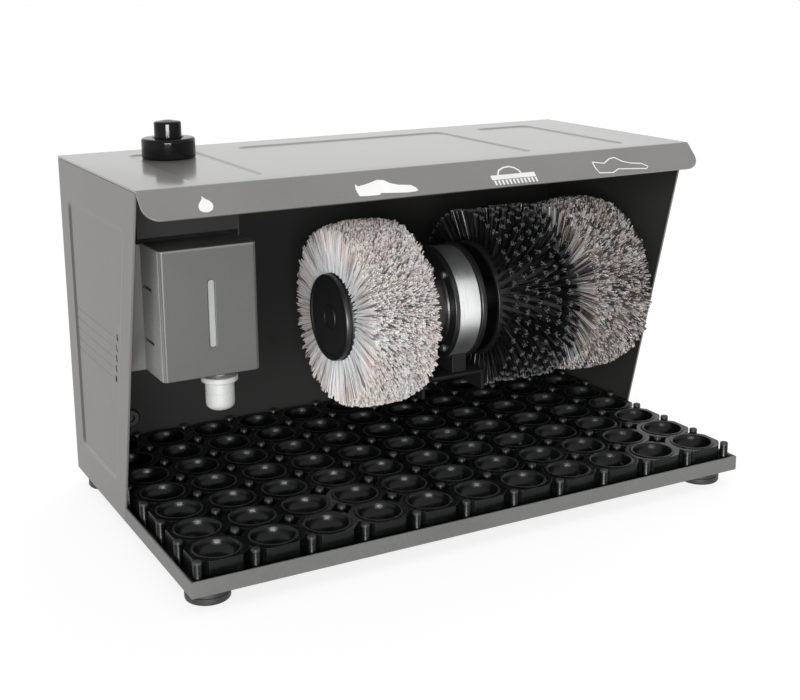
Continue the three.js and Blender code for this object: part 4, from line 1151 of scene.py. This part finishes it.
FLOOR_HALF, FLOOR_GREY, FLOOR_FAINT, FLOOR_GLOW, SOFT_LIGHT = 8, 0.80, 0.28, 0.80, 0.40
AIM = Vector((0, 0, 150)) * MM
CAMERA_PLACE = Vector((-590.2, -1090.9, 497.0)) * MM
CAMERA_TARGET = Vector((5.58, 13.5, 211.0)) * MM
LENS, SENSOR, SHIFT_UP, ROLL = 59.9, 36.0, -0.10, math.radians(-0.54)


def white_seen(finish, seen, lit):
    """Shows one shader to the camera and to reflections, and another to soft light."""
    path = finish.node("LightPath", {}, {})
    camera, glossy, clear = (Number(finish, path.outputs[name]) for name in
                             ("Is Camera Ray", "Is Glossy Ray", "Is Transmission Ray"))
    sees = finish.maths("MAXIMUM", finish.maths("MAXIMUM", camera, glossy), clear)
    return finish.node("MixShader", {}, {0: sees, 1: lit, 2: seen}).outputs[0]


def studio_floor():
    f = Finish("studio_floor")
    matte, faint = (f.node("BsdfDiffuse", {}, {0: (grey, grey, grey, 1)}).outputs[0]
                    for grey in (FLOOR_GREY, FLOOR_FAINT))
    glow = f.node("Emission", {}, {0: (1, 1, 1, 1), 1: FLOOR_GLOW}).outputs[0]
    pale = f.node("AddShader", {}, {0: faint, 1: glow}).outputs[0]
    f.node("OutputMaterial", {}, {0: white_seen(f, pale, matte)})
    bm = bmesh.new()
    bmesh.ops.create_grid(bm, x_segments=1, y_segments=1, size=FLOOR_HALF)
    mesh = mesh_of("studio_floor", bm)
    mesh.materials.append(f.owner)
    floor = linked("studio_floor", mesh)


def studio_world():
    world = bpy.data.worlds.new("studio")
    bpy.context.scene.world = world
    f = Finish("studio", world)
    soft, white = (f.node("Background", {}, {0: (1, 1, 1, 1), 1: strength}).outputs[0]
                   for strength in (SOFT_LIGHT, 1.0))
    f.node("OutputWorld", {}, {0: white_seen(f, white, soft)})


def lamp(name, kind, place, power, **settings):
    """A lamp at a place in metres, turned to the machine. The suns light it and give no reflection,
    because the white surroundings do, and the area lamp only glints."""
    data = bpy.data.lights.new(name, kind)
    data.energy = power
    for key, value in settings.items():
        setattr(data, key, value)
    light = linked(name, data)
    light.location = place
    light.rotation_euler = (AIM - Vector(place)).to_track_quat("-Z", "Y").to_euler()
    light.visible_glossy = kind == "AREA"
    light.visible_diffuse = kind != "AREA"
    light.visible_camera = False


def studio_camera():
    data = bpy.data.cameras.new("camera")
    data.sensor_fit, data.sensor_width, data.lens = "HORIZONTAL", SENSOR, LENS
    data.shift_y = SHIFT_UP
    camera = linked("camera", data)
    view = (CAMERA_TARGET - CAMERA_PLACE).to_track_quat("-Z", "Y")
    camera.location = CAMERA_PLACE
    camera.rotation_euler = (view @ Quaternion(Z, ROLL)).to_euler()
    bpy.context.scene.camera = camera


studio_floor()
studio_world()
lamp("soft_key", "SUN", (-1.6, -2.3, 0.8), 2.25, angle=math.radians(35))
lamp("soft_top", "SUN", (0.2, 0.3, 3.0), 0.6, angle=math.radians(70))
lamp("soft_back", "SUN", (1.6, 1.9, 1.1), 0.8, angle=math.radians(50))
lamp("sparkle", "AREA", (-0.78, -1.47, 0.165), 44, shape="RECTANGLE", size=0.75, size_y=0.30)
studio_camera()

scene = bpy.context.scene
scene.view_settings.view_transform = "Standard"
